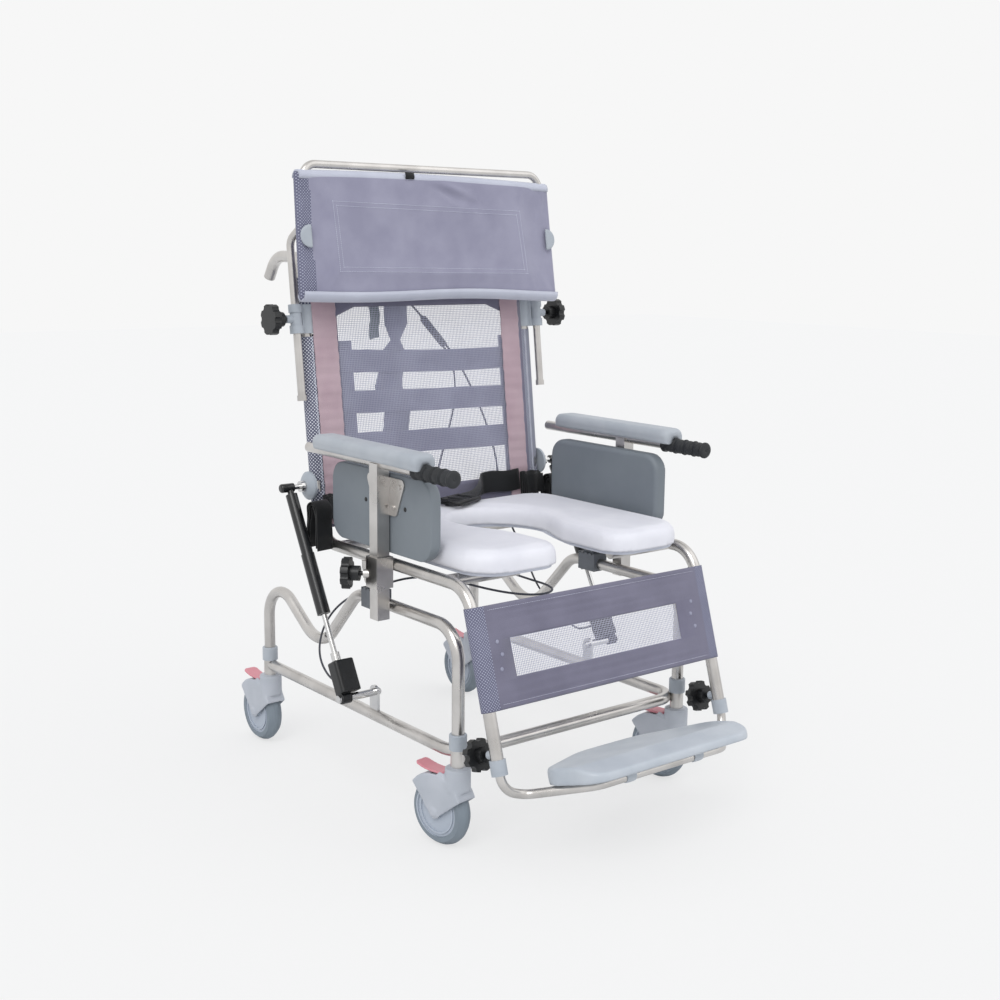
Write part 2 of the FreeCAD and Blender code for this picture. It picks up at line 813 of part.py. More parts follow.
def brake_pedal():
    """Curved foot pedal that hinges on the fork behind the housing."""
    pin_height = pedal_height - pedal_hub_radius
    half = pedal_width / 2
    hub = rod_between(FreeCAD.Vector(-half, pedal_pin_back, pin_height),
                      FreeCAD.Vector(half, pedal_pin_back, pin_height), 2 * pedal_hub_radius)
    tip = pedal_pin_back + pedal_length
    middle = pedal_pin_back + pedal_length / 2
    top = pedal_height
    low = top - pedal_thickness
    sag = pedal_thickness
    upper = Part.Arc(FreeCAD.Vector(-half, pedal_pin_back, top),
                     FreeCAD.Vector(-half, middle, top - sag / 2),
                     FreeCAD.Vector(-half, tip, top + sag))
    lower = Part.Arc(FreeCAD.Vector(-half, tip, low + sag),
                     FreeCAD.Vector(-half, middle, low - sag / 2),
                     FreeCAD.Vector(-half, pedal_pin_back, low))
    ends = [Part.LineSegment(upper.EndPoint, lower.StartPoint).toShape(),
            Part.LineSegment(lower.EndPoint, upper.StartPoint).toShape()]
    face = Part.Face(Part.Wire([upper.toShape(), ends[0], lower.toShape(), ends[1]]))
    blade = face.extrude(FreeCAD.Vector(pedal_width, 0, 0))
    corners = edges_where(blade, lambda c: abs(c.y - tip) < sling_gap and abs(c.x) > half - sling_gap)
    blade = blade.makeFillet(half / 2, corners)
    bore = rod_between(FreeCAD.Vector(-half, pedal_pin_back, pin_height),
                       FreeCAD.Vector(half, pedal_pin_back, pin_height),
                       pedal_pin_diameter + 2 * running_clearance)
    return blade.fuse(hub).removeSplitter().cut(bore)


# Tilting frame
def side_tube_bar(diameter):
    """The bent line of a side tube as a solid bar of the given diameter."""
    top = back_tube_at(handle_height)
    corners = [point(frame_half_width, calf_end_back, calf_end_height),
               point(frame_half_width, front_corner_back, seat_height),
               point(frame_half_width, rear_corner_back, seat_height),
               point(frame_half_width, top, handle_height),
               point(frame_half_width, top + handle_reach, handle_height),
               point(frame_half_width, top + handle_reach + grip_reach, handle_height - grip_drop)]
    radii = [front_corner_radius, rear_corner_radius, handle_bend_radius, grip_bend_radius]
    return round_bar(corners, radii, diameter)


def side_tube():
    """Calf, seat, back and push handle of one side, bent from one tube, drilled for the knob."""
    tube = side_tube_bar(tube_diameter).cut(side_tube_bar(tube_diameter - 2 * tube_wall))
    start = foot_point(frame_half_width, 0, -calf_knob_above_end)
    end = foot_point(frame_half_width, -tube_diameter, -calf_knob_above_end)
    return tube.cut(rod_between(start, end, knob_stud_diameter + 2 * running_clearance))


def cross_bars():
    """Rear seat bar, low back bar and the two short front bars with their plugged ends."""
    inner = frame_half_width
    rear = cross_rod(-inner, inner, rear_bar_back, seat_height, tube_diameter)
    rear = rear.cut(cross_rod(-inner, inner, rear_bar_back, seat_height,
                              tube_diameter - 2 * tube_wall))
    low = cross_rod(-inner, inner, back_tube_at(back_bar_height), back_bar_height, tube_diameter)
    low = low.cut(cross_rod(-inner, inner, back_tube_at(back_bar_height), back_bar_height,
                            tube_diameter - 2 * tube_wall))
    inner_end = inner - front_bar_length
    stub = cross_rod(inner_end, inner, front_bar_back, seat_height, tube_diameter)
    stub = stub.cut(cross_rod(inner_end, inner, front_bar_back, seat_height,
                              tube_diameter - 2 * tube_wall))
    plug = cross_rod(inner_end - bar_plug_length, inner_end, front_bar_back, seat_height,
                     tube_diameter)
    plug = plug.makeFillet(bar_plug_length / 2,
                           edges_where(plug, lambda c: c.x < inner_end - bar_plug_length + sling_gap))
    solids = [rear, low] + both_sides([stub, plug])
    core = rod_between(point(frame_half_width, front_bar_back - tube_diameter, seat_height),
                       point(frame_half_width, rear_bar_back + tube_diameter, seat_height),
                       tube_diameter)
    back_core = rod_between(point(frame_half_width, back_tube_at(seat_height), seat_height),
                            point(frame_half_width, back_tube_at(handle_height), handle_height),
                            tube_diameter)
    cutters = both_sides([core, back_core])
    return [solid.cut(cutters) for solid in solids]


# Seat
def horseshoe(inset, height):
    """Closed outline of the seat with its keyhole aperture, open at the front."""
    half = cushion_half_width - inset
    front = cushion_front + inset
    rear = cushion_rear - inset
    corner = cushion_corner_radius - inset
    lip = aperture_front_half_width + inset
    wide = aperture_half_width + inset
    lobe = (half - lip) * lobe_radius_share
    slope = corner * (1 - math.sqrt(0.5))
    widest = aperture_widest
    deep = aperture_rear + inset
    neck = aperture_neck

    def at(x, back):
        return point(x, back, height)

    right_side = [
        Part.LineSegment(at(0, rear), at(half - corner, rear)),
        Part.Arc(at(half - corner, rear), at(half - slope, rear - slope), at(half, rear - corner)),
        Part.LineSegment(at(half, rear - corner), at(half, front + corner)),
        Part.Arc(at(half, front + corner), at(half - slope, front + slope), at(half - corner, front)),
        Part.LineSegment(at(half - corner, front), at(lip + lobe, front)),
        Part.Arc(at(lip + lobe, front), at(lip + lobe * (1 - math.sqrt(0.5)),
                                           front + lobe * (1 - math.sqrt(0.5))),
                 at(lip, front + lobe)),
        Part.LineSegment(at(lip, front + lobe), at(lip, neck)),
        Part.Arc(at(lip, neck), at(lip + (wide - lip) * neck_side_share,
                                   neck + (widest - neck) * neck_length_share), at(wide, widest)),
        Part.Arc(at(wide, widest), at(wide * math.sqrt(0.5),
                                      widest + (deep - widest) * math.sqrt(0.5)), at(0, deep)),
    ]
    edges = [piece.toShape() for piece in right_side]
    mirrored = [other_side(edge) for edge in reversed(edges)]
    return Part.Wire(Part.__sortEdges__(edges + mirrored))


def seat_board():
    """Flat plate under the cushion, lying on the seat tubes and bars."""
    face = Part.Face(horseshoe(board_inset, board_bottom))
    return face.extrude(FreeCAD.Vector(0, 0, board_thickness))


def seat_cushion():
    """Moulded cushion: drawn-in sides that rise to a crowned top."""
    waist = board_top + cushion_thickness / 2
    shoulder = cushion_top - cushion_crown
    lower = Part.makeLoft([horseshoe(cushion_drawn_in / 2, board_top),
                           horseshoe(0, waist)], True, True)
    upper = Part.makeLoft([horseshoe(0, waist), horseshoe(cushion_drawn_in / 2, shoulder)],
                          True, True)
    crown = Part.makeLoft([horseshoe(cushion_drawn_in / 2, shoulder),
                           horseshoe(2 * cushion_drawn_in, cushion_top)], True, True)
    return lower.fuse([upper, crown]).removeSplitter()


# Back sling
def sling_front_at(height):
    """Distance of the sling's front face behind the front posts at a height."""
    reach = (tube_radius + sling_gap + sling_thickness) / math.cos(math.radians(recline))
    return back_tube_at(height) - reach


def leaning_block(x_start, x_end, bottom, top, front_offset, thickness):
    """A flat block that leans with the back, set behind the sling's front face."""
    lean = 1 / math.cos(math.radians(recline))
    low = sling_front_at(bottom) + front_offset * lean
    high = sling_front_at(top) + front_offset * lean
    return plate_along_x([(low, bottom), (low + thickness * lean, bottom),
                          (high + thickness * lean, top), (high, top)], x_start, x_end)


def net_openings(half_width, bottom, top, columns, rows, place):
    """The gaps of a net, as blocks to cut out of its panel."""
    pitch = 2 * half_width / columns
    step = (top - bottom) / rows
    gaps = []
    for column in range(columns):
        for row in range(rows):
            x = -half_width + column * pitch + net_bar / 2
            z = bottom + row * step + net_bar / 2
            gaps.append(place(x, x + pitch - net_bar, z, z + step - net_bar))
    return gaps


def sleeved_panel(middle, forward, along, thickness):
    """Cloth between two tubes with a sleeve round each: its section drawn at the middle, then extruded."""
    inner = tube_radius + sling_gap
    outer = inner + thickness
    half = frame_half_width
    reach = math.sqrt(outer ** 2 - inner ** 2)

    def at(x, out):
        return middle + FreeCAD.Vector(x, 0, 0) + forward * out

    pieces = [Part.LineSegment(at(-half, outer), at(half, outer)),
              Part.Arc(at(half, outer), at(half, -outer), at(half - reach, inner)),
              Part.LineSegment(at(half - reach, inner), at(reach - half, inner)),
              Part.Arc(at(reach - half, inner), at(-half, -outer), at(-half, outer))]
    face = Part.Face(Part.Wire([piece.toShape() for piece in pieces]))
    body = face.extrude(along)
    tunnels = [rod_between(at(x, 0) - along, at(x, 0) + along * 2, 2 * inner) for x in (-half, half)]
    return body.cut(tunnels)


def back_sling():
    """Net panel on the front of the back tubes, with a sleeve round each tube."""
    low = place_on_back(0, sling_bottom, 0)
    high = place_on_back(0, sling_top, 0)
    clamp_half = clamp_length / 2 + sleeve_trim
    clamp_middle = place_on_back(frame_half_width, clamp_height, 0)
    clamp_room = rod_between(clamp_middle - back_up * clamp_half, clamp_middle + back_up * clamp_half,
                             tube_diameter + 2 * (clamp_wall + sleeve_trim))
    pin_room = cross_rod(frame_half_width, spring_half_width, back_tube_at(spring_top_height),
                         spring_top_height, spring_pin_diameter + 2 * sling_gap)
    bar_room = cross_rod(-frame_half_width, frame_half_width, back_tube_at(back_bar_height),
                         back_bar_height, tube_diameter + 4 * sling_gap)
    bend_end = seat_height + bend_reach(rear_corner_radius, 90 - recline) * back_up.z
    reach = tube_radius + sling_gap + sling_thickness + sleeve_trim
    bend_room = leaning_block(frame_half_width - reach, frame_half_width + reach,
                              sling_bottom - tube_diameter, bend_end,
                              -sling_thickness, 2 * (reach + sling_thickness))
    body = sleeved_panel(low, back_forward, high - low, sling_thickness)
    body = body.cut([bar_room] + both_sides([clamp_room, pin_room, bend_room]))

    def gap(x_start, x_end, bottom, top):
        return leaning_block(x_start, x_end, bottom, top, -sling_thickness, 3 * sling_thickness)

    holes = net_openings(window_half_width, window_bottom, window_top,
                         net_columns, net_rows, gap)
    return body.cut(Part.Compound(holes))


def back_straps():
    """Tension straps across the back, behind the net."""
    sleeve = tube_diameter + 4 * sling_gap + 2 * sling_thickness
    rooms = both_sides([rod_between(place_on_back(frame_half_width, sling_bottom, 0),
                                    place_on_back(frame_half_width, sling_top, 0), sleeve)])
    straps = []
    for row in range(strap_count):
        middle = strap_first + row * strap_pitch
        strap = leaning_block(-frame_half_width, frame_half_width, middle - strap_height / 2,
                              middle + strap_height / 2, strap_gap_behind, strap_thickness)
        straps.append(strap.cut(rooms))
    return straps


def calf_panel():
    """Net panel behind the calves, sleeved over the calf tubes."""
    top = point(0, calf_tube_at(panel_top_height), panel_top_height)
    bottom = point(0, calf_tube_at(panel_bottom_height), panel_bottom_height)
    length = (bottom - top).Length
    inner = tube_radius + sling_gap
    body = sleeved_panel(top, calf_forward, bottom - top, panel_thickness)
    body = body.cut(both_sides([side_tube_bar(2 * inner)]))

    def gap(x_start, x_end, low, high):
        corners = [(low, inner - panel_thickness), (high, inner - panel_thickness),
                   (high, inner + 2 * panel_thickness), (low, inner + 2 * panel_thickness)]
        places = [top + FreeCAD.Vector(x_start, 0, 0) + calf_down * down + calf_forward * out
                  for down, out in corners]
        face = Part.Face(Part.makePolygon(places + places[:1]))
        return face.extrude(FreeCAD.Vector(x_end - x_start, 0, 0))

    holes = net_openings(calf_window_half_width, (length - calf_window_height) / 2,
                         (length + calf_window_height) / 2, calf_net_columns, calf_net_rows, gap)
    return body.cut(Part.Compound(holes))


# Clamps, collars and sockets
def headrest_clamp():
    """Plastic clamp on the back tube with two eyes, and a steel sleeve with the knob's boss between them."""
    tube_middle = place_on_back(frame_half_width, clamp_height, 0)
    leg_middle = place_on_back(leg_half_width, clamp_height, leg_forward)
    half = back_up * (clamp_length / 2)
    ring = back_up * clamp_ring_length
    eye = leg_diameter + 2 * clamp_wall
    holder = rod_between(tube_middle - half, tube_middle + half, tube_diameter + 2 * clamp_wall)
    eyes = [rod_between(leg_middle - half, leg_middle - half + ring, eye),
            rod_between(leg_middle + half - ring, leg_middle + half, eye)]
    across = direction(leg_half_width - frame_half_width, -leg_forward, 0)
    aside = across.cross(back_up) * (leg_diameter / 2)
    span = leg_middle - tube_middle
    corner = tube_middle - half - aside
    web = Part.Face(Part.makePolygon([corner, corner + span, corner + span + aside * 2,
                                      corner + aside * 2, corner])).extrude(half * 2)
    tube = rod_between(tube_middle - half * 2, tube_middle + half * 2, tube_diameter)
    leg = rod_between(leg_middle - half * 2, leg_middle + half * 2,
                      leg_diameter + 2 * running_clearance)
    clamp = holder.fuse(eyes + [web]).removeSplitter()
    low = leg_middle - half + ring
    high = leg_middle + half - ring
    sleeve_room = rod_between(low, high, eye)
    clamp = clamp.cut(sleeve_room).cut(tube).cut(leg)
    sleeve = rod_between(low, high, leg_diameter + 2 * sleeve_wall)
    boss_end = leg_middle + FreeCAD.Vector(leg_diameter / 2 + headrest_boss_reach, 0, 0)
    boss = rod_between(leg_middle, boss_end, boss_diameter)
    stud = rod_between(leg_middle, boss_end, knob_stud_diameter + 2 * running_clearance)
    return [clamp, sleeve.fuse(boss).cut(leg).cut(stud)]


def calf_collar():
    """Collar on the end of the calf tube; its lip guides the footrest's leg."""
    bottom = foot_point(frame_half_width, 0, collar_lip)
    end = foot_point(frame_half_width, 0, 0)
    top = foot_point(frame_half_width, 0, collar_lip - calf_collar_length)
    ring = rod_between(bottom, top, tube_diameter + 2 * calf_collar_wall)
    return ring.cut(rod_between(end, top, tube_diameter)).cut(
        rod_between(bottom, end, foot_tube_diameter + 2 * running_clearance))


def calf_boss():
    """Threaded bush behind the calf tube for the footrest's knob."""
    start = foot_point(frame_half_width, 0, -calf_knob_above_end)
    end = foot_point(frame_half_width, -tube_radius - calf_boss_reach, -calf_knob_above_end)
    boss = rod_between(start, end, boss_diameter)
    boss = boss.cut(rod_between(foot_point(frame_half_width, 0, -2 * calf_knob_above_end),
                                foot_point(frame_half_width, 0, 0), tube_diameter))
    return boss.cut(rod_between(start, end, knob_stud_diameter + 2 * running_clearance))


def arm_socket():
    """Square sleeve welded to the seat tube, with the corner bush of its knob."""
    outer = arm_post_size / 2 + socket_clearance + socket_wall
    inner = arm_post_size / 2 + socket_clearance
    middle = (socket_bottom + socket_top) / 2 - socket_wall
    sleeve = box(arm_half_width - outer, arm_half_width + outer, arm_post_back - outer,
                 arm_post_back + outer, socket_bottom, socket_top)
    bore = box(arm_half_width - inner, arm_half_width + inner, arm_post_back - inner,
               arm_post_back + inner, socket_bottom, socket_top)
    start = point(arm_half_width, arm_post_back, middle)
    corner = start + arm_knob_axis * (arm_post_size * math.sqrt(0.5))
    end = start + arm_knob_axis * (outer * math.sqrt(2) + arm_boss_reach)
    boss = rod_between(corner, end, boss_diameter)
    stud = rod_between(start, end, knob_stud_diameter + 2 * running_clearance)
    tube = rod_between(point(frame_half_width, 0, seat_height),
                       point(frame_half_width, rear_bar_back, seat_height), tube_diameter)
    return sleeve.fuse(boss).removeSplitter().cut(bore).cut(stud).cut(tube)


# Knobs
def star_knob(tip, axis, stud_length):
    """Star-shaped clamping knob: stud, hub and lobed disc, outward along its axis."""
    hub_start = tip + axis * stud_length
    disc_start = hub_start + axis * knob_hub_length
    disc_end = disc_start + axis * knob_thickness
    disc = rod_between(disc_start, disc_end, knob_diameter)
    across = axis.cross(direction(0, 0, 1))
    up = across.cross(axis)
    notches = []
    for lobe in range(knob_lobes):
        angle = 2 * math.pi * lobe / knob_lobes
        out = (across * math.cos(angle) + up * math.sin(angle)) * (
            knob_diameter / 2 + knob_notch_radius * knob_notch_share)
        notches.append(rod_between(disc_start + out, disc_end + out, 2 * knob_notch_radius))
    disc = disc.cut(notches)
    hub = rod_between(hub_start, disc_start, knob_hub_diameter)
    stud = rod_between(tip, hub_start, knob_stud_diameter)
    return disc.fuse([hub, stud]).removeSplitter()


def headrest_knob():
    """Knob whose stud presses on the headrest leg."""
    leg = place_on_back(leg_half_width, clamp_height, leg_forward)
    axis = FreeCAD.Vector(1, 0, 0)
    reach = headrest_boss_reach + knob_stud_free - press_gap
    return star_knob(leg + axis * (leg_diameter / 2 + press_gap), axis, reach)


def arm_knob():
    """Knob whose stud presses on the corner of the arm post."""
    middle = (socket_bottom + socket_top) / 2 - socket_wall
    start = point(arm_half_width, arm_post_back, middle)
    corner = arm_post_size * math.sqrt(0.5)
    outer = (arm_post_size / 2 + socket_clearance + socket_wall) * math.sqrt(2)
    reach = outer + arm_boss_reach + knob_stud_free - corner - press_gap
    return star_knob(start + arm_knob_axis * (corner + press_gap), arm_knob_axis, reach)


def footrest_knob():
    """Knob whose stud presses on the footrest leg inside the calf tube."""
    leg = foot_point(frame_half_width, -foot_tube_diameter / 2 - press_gap, -calf_knob_above_end)
    reach = tube_radius + calf_boss_reach + knob_stud_free - foot_tube_diameter / 2 - press_gap
    return star_knob(leg, calf_forward * -1, reach)


# Armrests
def arm_frame():
    """Square post with the round rail welded on top and the plate that carries the side panel."""
    half = arm_post_size / 2
    inner = half - arm_post_wall
    post = box(arm_half_width - half, arm_half_width + half, arm_post_back - half,
               arm_post_back + half, arm_post_bottom, arm_rail_height)
    post = post.cut(box(arm_half_width - inner, arm_half_width + inner, arm_post_back - inner,
                        arm_post_back + inner, arm_post_bottom, arm_rail_height))
    front = point(arm_half_width, arm_rail_front + grip_end_wall, arm_rail_height)
    rear = point(arm_half_width, arm_rail_rear, arm_rail_height)
    rail = rod_between(front, rear, arm_rail_diameter)
    post = post.cut(rail)
    rail = rail.cut(rod_between(front, rear, arm_rail_diameter - 2 * tube_wall))
    plate_inner = arm_half_width - half - panel_plate_thickness
    plate_outer = arm_half_width - half
    plate = plate_along_x([(arm_post_back - panel_plate_half_top, panel_plate_top),
                           (arm_post_back + panel_plate_half_top, panel_plate_top),
                           (arm_post_back + panel_plate_half_bottom, panel_plate_bottom),
                           (arm_post_back - panel_plate_half_bottom, panel_plate_bottom)],
                          plate_inner, plate_outer)
    plate = plate.makeFillet(panel_screw_diameter,
                             edges_where(plate, lambda c: plate_inner < c.x < plate_outer))
    screws = []
    for back, height in ((arm_post_back - panel_plate_half_top + panel_screw_side,
                          panel_plate_top - panel_screw_drop),
                         (arm_post_back + panel_plate_half_top - panel_screw_side,
                          panel_plate_top - panel_screw_drop),
                         (arm_post_back - panel_plate_half_bottom + panel_screw_low_side,
                          panel_plate_bottom + panel_screw_drop)):
        screws.append(cross_rod(plate_outer, plate_outer + panel_screw_height, back, height,
                                panel_screw_diameter))
    return [post, rail, plate.fuse(screws)]


def arm_pad():
    """Moulded pad on the rail: rounded top edges, grooved underside, recess over the grip."""
    half = arm_pad_width / 2
    left = arm_half_width - half
    right = arm_half_width + half
    pad = box(left, right, arm_pad_front, arm_pad_rear, arm_pad_bottom, arm_pad_top)
    upright = edges_where(pad, lambda c: arm_pad_bottom < c.z < arm_pad_top
                          and min(abs(c.x - left), abs(c.x - right)) < sling_gap)
    pad = pad.makeFillet(arm_pad_end_radius, upright)
    pad = pad.makeFillet(arm_pad_edge_radius, edges_where(pad, lambda c: c.z > arm_pad_top - sling_gap))
    rail = rod_between(point(arm_half_width, arm_pad_front, arm_rail_height),
                       point(arm_half_width, arm_pad_rear, arm_rail_height), arm_rail_diameter)
    room = grip_diameter / 2 + grip_clearance
    grip_rear = arm_rail_front + grip_length + grip_clearance
    recess = rod_between(point(arm_half_width, arm_pad_front, arm_rail_height),
                         point(arm_half_width, grip_rear, arm_rail_height), 2 * room)
    return pad.cut(rail).cut(recess)


def hand_grip():
    """Rubber grip with finger swells, closed at its front end."""
    radius = grip_diameter / 2
    step = (grip_length - 2 * grip_flange_length) / grip_swell_count
    groove = radius - grip_swell_depth

    def at(along, out):
        return FreeCAD.Vector(arm_half_width, front_post_y + arm_rail_front + along,
                              arm_rail_height + out)

    start = at(0, 0)
    profile = [start, at(0, groove), at(grip_swell_depth, radius)]
    for turn in range(grip_swell_count * grip_swell_steps + 1):
        share = turn % grip_swell_steps / grip_swell_steps
        profile.append(at(grip_flange_length + turn * step / grip_swell_steps,
                          groove + grip_swell_depth * math.sin(math.pi * share)))
    last = grip_length - grip_flange_length
    profile.extend([at(last, radius), at(grip_length, radius), at(grip_length, 0), start])
    face = Part.Face(Part.makePolygon(profile))
    grip = face.revolve(start, FreeCAD.Vector(0, 1, 0), 360)
    rail = rod_between(at(grip_end_wall, 0), at(grip_length, 0), arm_rail_diameter)
    return grip.cut(rail)


def side_panel():
    """Moulded side panel with large corners and a softened inner face."""
    outer = arm_half_width - arm_post_size / 2 - panel_plate_thickness
    inner = outer - side_panel_thickness
    panel = box(inner, outer, side_panel_front, side_panel_rear, side_panel_bottom, side_panel_top)
    panel = panel.makeFillet(side_panel_corner, edges_where(panel, lambda c: inner < c.x < outer))
    face = edges_where(panel, lambda c: c.x < inner + sling_gap)
    return panel.makeFillet(side_panel_edge_radius, face)


# Headrest
def headrest_wire(diameter):
    """The bent rod of the headrest with the given diameter."""
    side = [place_on_back(leg_half_width, leg_end_height, leg_forward),
            place_on_back(leg_half_width, leg_bend_height, leg_forward),
            place_on_back(cover_rod_half_width, cover_rod_height, cover_rod_forward),
            place_on_back(top_bar_half_width, top_bar_height, cover_rod_forward)]
    opposite = [FreeCAD.Vector(-place.x, place.y, place.z) for place in reversed(side)]
    radii = [leg_bend_radius, leg_bend_radius, top_bar_radius,
             top_bar_radius, leg_bend_radius, leg_bend_radius]
    return round_bar(side + opposite, radii, diameter)


def headrest_frame():
    """Bent rod with plastic caps on the ends of its legs."""
    end = place_on_back(leg_half_width, leg_end_height, leg_forward)
    cap = rod_between(end - back_up * leg_cap_wall, end + back_up * leg_cap_length,
                      leg_diameter + 2 * leg_cap_wall)
    cap = cap.cut(rod_between(end, end + back_up * leg_cap_length, leg_diameter))
    return [headrest_wire(leg_diameter)] + both_sides([cap])


def cover_outline(inset, forward):
    """Rounded outline of the headrest cover, a little wider at the bottom."""
    low = cover_bottom + inset
    high = cover_top - inset
    bottom_half = cover_bottom_half_width - inset
    top_half = cover_half_width - inset
    corners = [place_on_back(-bottom_half, low, forward), place_on_back(bottom_half, low, forward),
               place_on_back(top_half, high, forward), place_on_back(-top_half, high, forward)]
    middle = (corners[0] + corners[1]) / 2
    return rounded_path([middle] + corners[1:] + [corners[0], middle], [cover_corner_radius] * 4)


def headrest_cover():
    """Padded cover with drawn-in edges, pulled over the bent rod."""
    waist = cover_rear_forward + cover_depth * cover_waist_share
    front = cover_rear_forward + cover_depth
    outlines = [cover_outline(cover_rear_inset, cover_rear_forward), cover_outline(0, waist),
                cover_outline(cover_front_inset / 3, front - cover_front_inset / 2),
                cover_outline(cover_front_inset, front)]
    layers = [Part.makeLoft([low, high], True, True) for low, high in zip(outlines, outlines[1:])]
    body = layers[0].fuse(layers[1:]).removeSplitter()
    return body.cut(headrest_wire(leg_diameter + 2 * sling_gap))


# Footrest
def footrest_loop():
    """Bent rod: legs inside the calf tubes, sides that run forward, cross bar under the plate."""
    side = [foot_point(frame_half_width, 0, -foot_leg_inside),
            foot_point(frame_half_width, 0, foot_leg_drop),
            foot_point(foot_diagonal_half_width, foot_diagonal_forward, foot_drop),
            foot_point(foot_bar_half_width, foot_bar_forward, foot_drop)]
    opposite = [FreeCAD.Vector(-place.x, place.y, place.z) for place in reversed(side)]
    radii = [foot_leg_radius, foot_side_radius, foot_bar_radius,
             foot_bar_radius, foot_side_radius, foot_leg_radius]
    return round_bar(side + opposite, radii, foot_tube_diameter)


def foot_plate():
    """Moulded plate with a convex rear edge, a sloped front and clips round the cross bar."""
    top = foot_plate_gap
    corners = [foot_point(-plate_half_width, plate_rear_side, top),
               foot_point(-plate_rear_half_width, plate_rear, top),
               foot_point(plate_rear_half_width, plate_rear, top),
               foot_point(plate_half_width, plate_rear_side, top),
               foot_point(plate_front_half_width, plate_front, top),
               foot_point(-plate_front_half_width, plate_front, top)]
    middle = (corners[1] + corners[2]) / 2
    order = [middle] + corners[2:] + corners[:2] + [middle]
    radii = [plate_rear_radius] + [plate_corner_radius] * 4 + [plate_rear_radius]
    outline = rounded_path(order, radii)
    body = Part.Face(outline).extrude(calf_down * plate_thickness)
    plane = foot_point(0, 0, top)
    rim = [edge for edge in body.Edges
           if abs((edge.CenterOfMass - plane).dot(calf_down)) < sling_gap]
    body = body.makeFillet(plate_edge_radius, rim)
    half = plate_half_width
    wedge = [foot_point(-half, plate_slope_start, top),
             foot_point(-half, plate_front + plate_edge_radius, top + plate_front_slope),
             foot_point(-half, plate_front + plate_edge_radius, top - plate_front_slope),
             foot_point(-half, plate_slope_start, top - plate_front_slope)]
    wedge = Part.Face(Part.makePolygon(wedge + wedge[:1])).extrude(FreeCAD.Vector(2 * half, 0, 0))
    body = body.cut(wedge)
    bar_outer = foot_tube_diameter + 2 * (running_clearance + plate_clip_wall)
    clips = []
    for x in (-plate_clip_half_spacing, plate_clip_half_spacing):
        start = foot_point(x - plate_clip_width / 2, foot_bar_forward, foot_drop)
        end = foot_point(x + plate_clip_width / 2, foot_bar_forward, foot_drop)
        clips.append(rod_between(start, end, bar_outer))
        foot = [foot_point(start.x, foot_bar_forward + shift, level)
                for shift, level in ((-bar_outer / 2, top + plate_thickness / 2),
                                     (bar_outer / 2, top + plate_thickness / 2),
                                     (bar_outer / 2, foot_drop), (-bar_outer / 2, foot_drop))]
        foot = Part.Face(Part.makePolygon(foot + foot[:1]))
        clips.append(foot.extrude(FreeCAD.Vector(plate_clip_width, 0, 0)))
    bore = rod_between(foot_point(-half, foot_bar_forward, foot_drop),
                       foot_point(half, foot_bar_forward, foot_drop),
                       foot_tube_diameter + 2 * running_clearance)
    return body.fuse(clips).removeSplitter().cut(bore)


# Gas springs
spring_top = point(spring_half_width, back_tube_at(spring_top_height), spring_top_height)
spring_foot = point(spring_half_width, spring_base_back, spring_base_height)
spring_down = direction(0, spring_foot.y - spring_top.y, spring_foot.z - spring_top.z)


def spring_top_pin():
    """Pin from the back tube through the lens disc into the spring's elbow."""
    start = point(frame_half_width, back_tube_at(spring_top_height), spring_top_height)
    disc_start = frame_half_width + tube_radius + sling_gap + sling_thickness + disc_gap
    collar_start = disc_start + disc_thickness
    collar_end = collar_start + pin_collar_length
    pin_end = spring_half_width + eye_outboard - eye_end_wall
    shaft = rod_between(start, FreeCAD.Vector(pin_end, start.y, start.z), spring_pin_diameter)
    collar = rod_between(FreeCAD.Vector(collar_start, start.y, start.z),
                         FreeCAD.Vector(collar_end, start.y, start.z), pin_collar_diameter)
    tube = rod_between(start - back_up * tube_diameter, start + back_up * tube_diameter,
                       tube_diameter)
    return shaft.fuse(collar).removeSplitter().cut(tube)


def spacer_disc():
    """Grey lens-shaped disc on the top pin."""
    start = frame_half_width + tube_radius + sling_gap + sling_thickness + disc_gap
    axis_point = point(start, back_tube_at(spring_top_height), spring_top_height)
    radius = disc_diameter / 2

    def at(along, out):
        return axis_point + FreeCAD.Vector(along, 0, out)

    bore = spring_pin_diameter / 2
    middle_share = math.sqrt(0.5)
    rise = disc_thickness - disc_edge
    edges = [Part.LineSegment(at(0, bore), at(0, radius)).toShape(),
             Part.LineSegment(at(0, radius), at(disc_edge, radius)).toShape(),
             Part.Arc(at(disc_edge, radius), at(disc_edge + rise * middle_share, radius * middle_share),
                      at(disc_thickness, pin_collar_diameter / 2)).toShape(),
             Part.LineSegment(at(disc_thickness, pin_collar_diameter / 2),
                              at(disc_thickness, bore)).toShape(),
             Part.LineSegment(at(disc_thickness, bore), at(0, bore)).toShape()]
    return Part.Face(Part.Wire(edges)).revolve(axis_point, FreeCAD.Vector(1, 0, 0), 360)


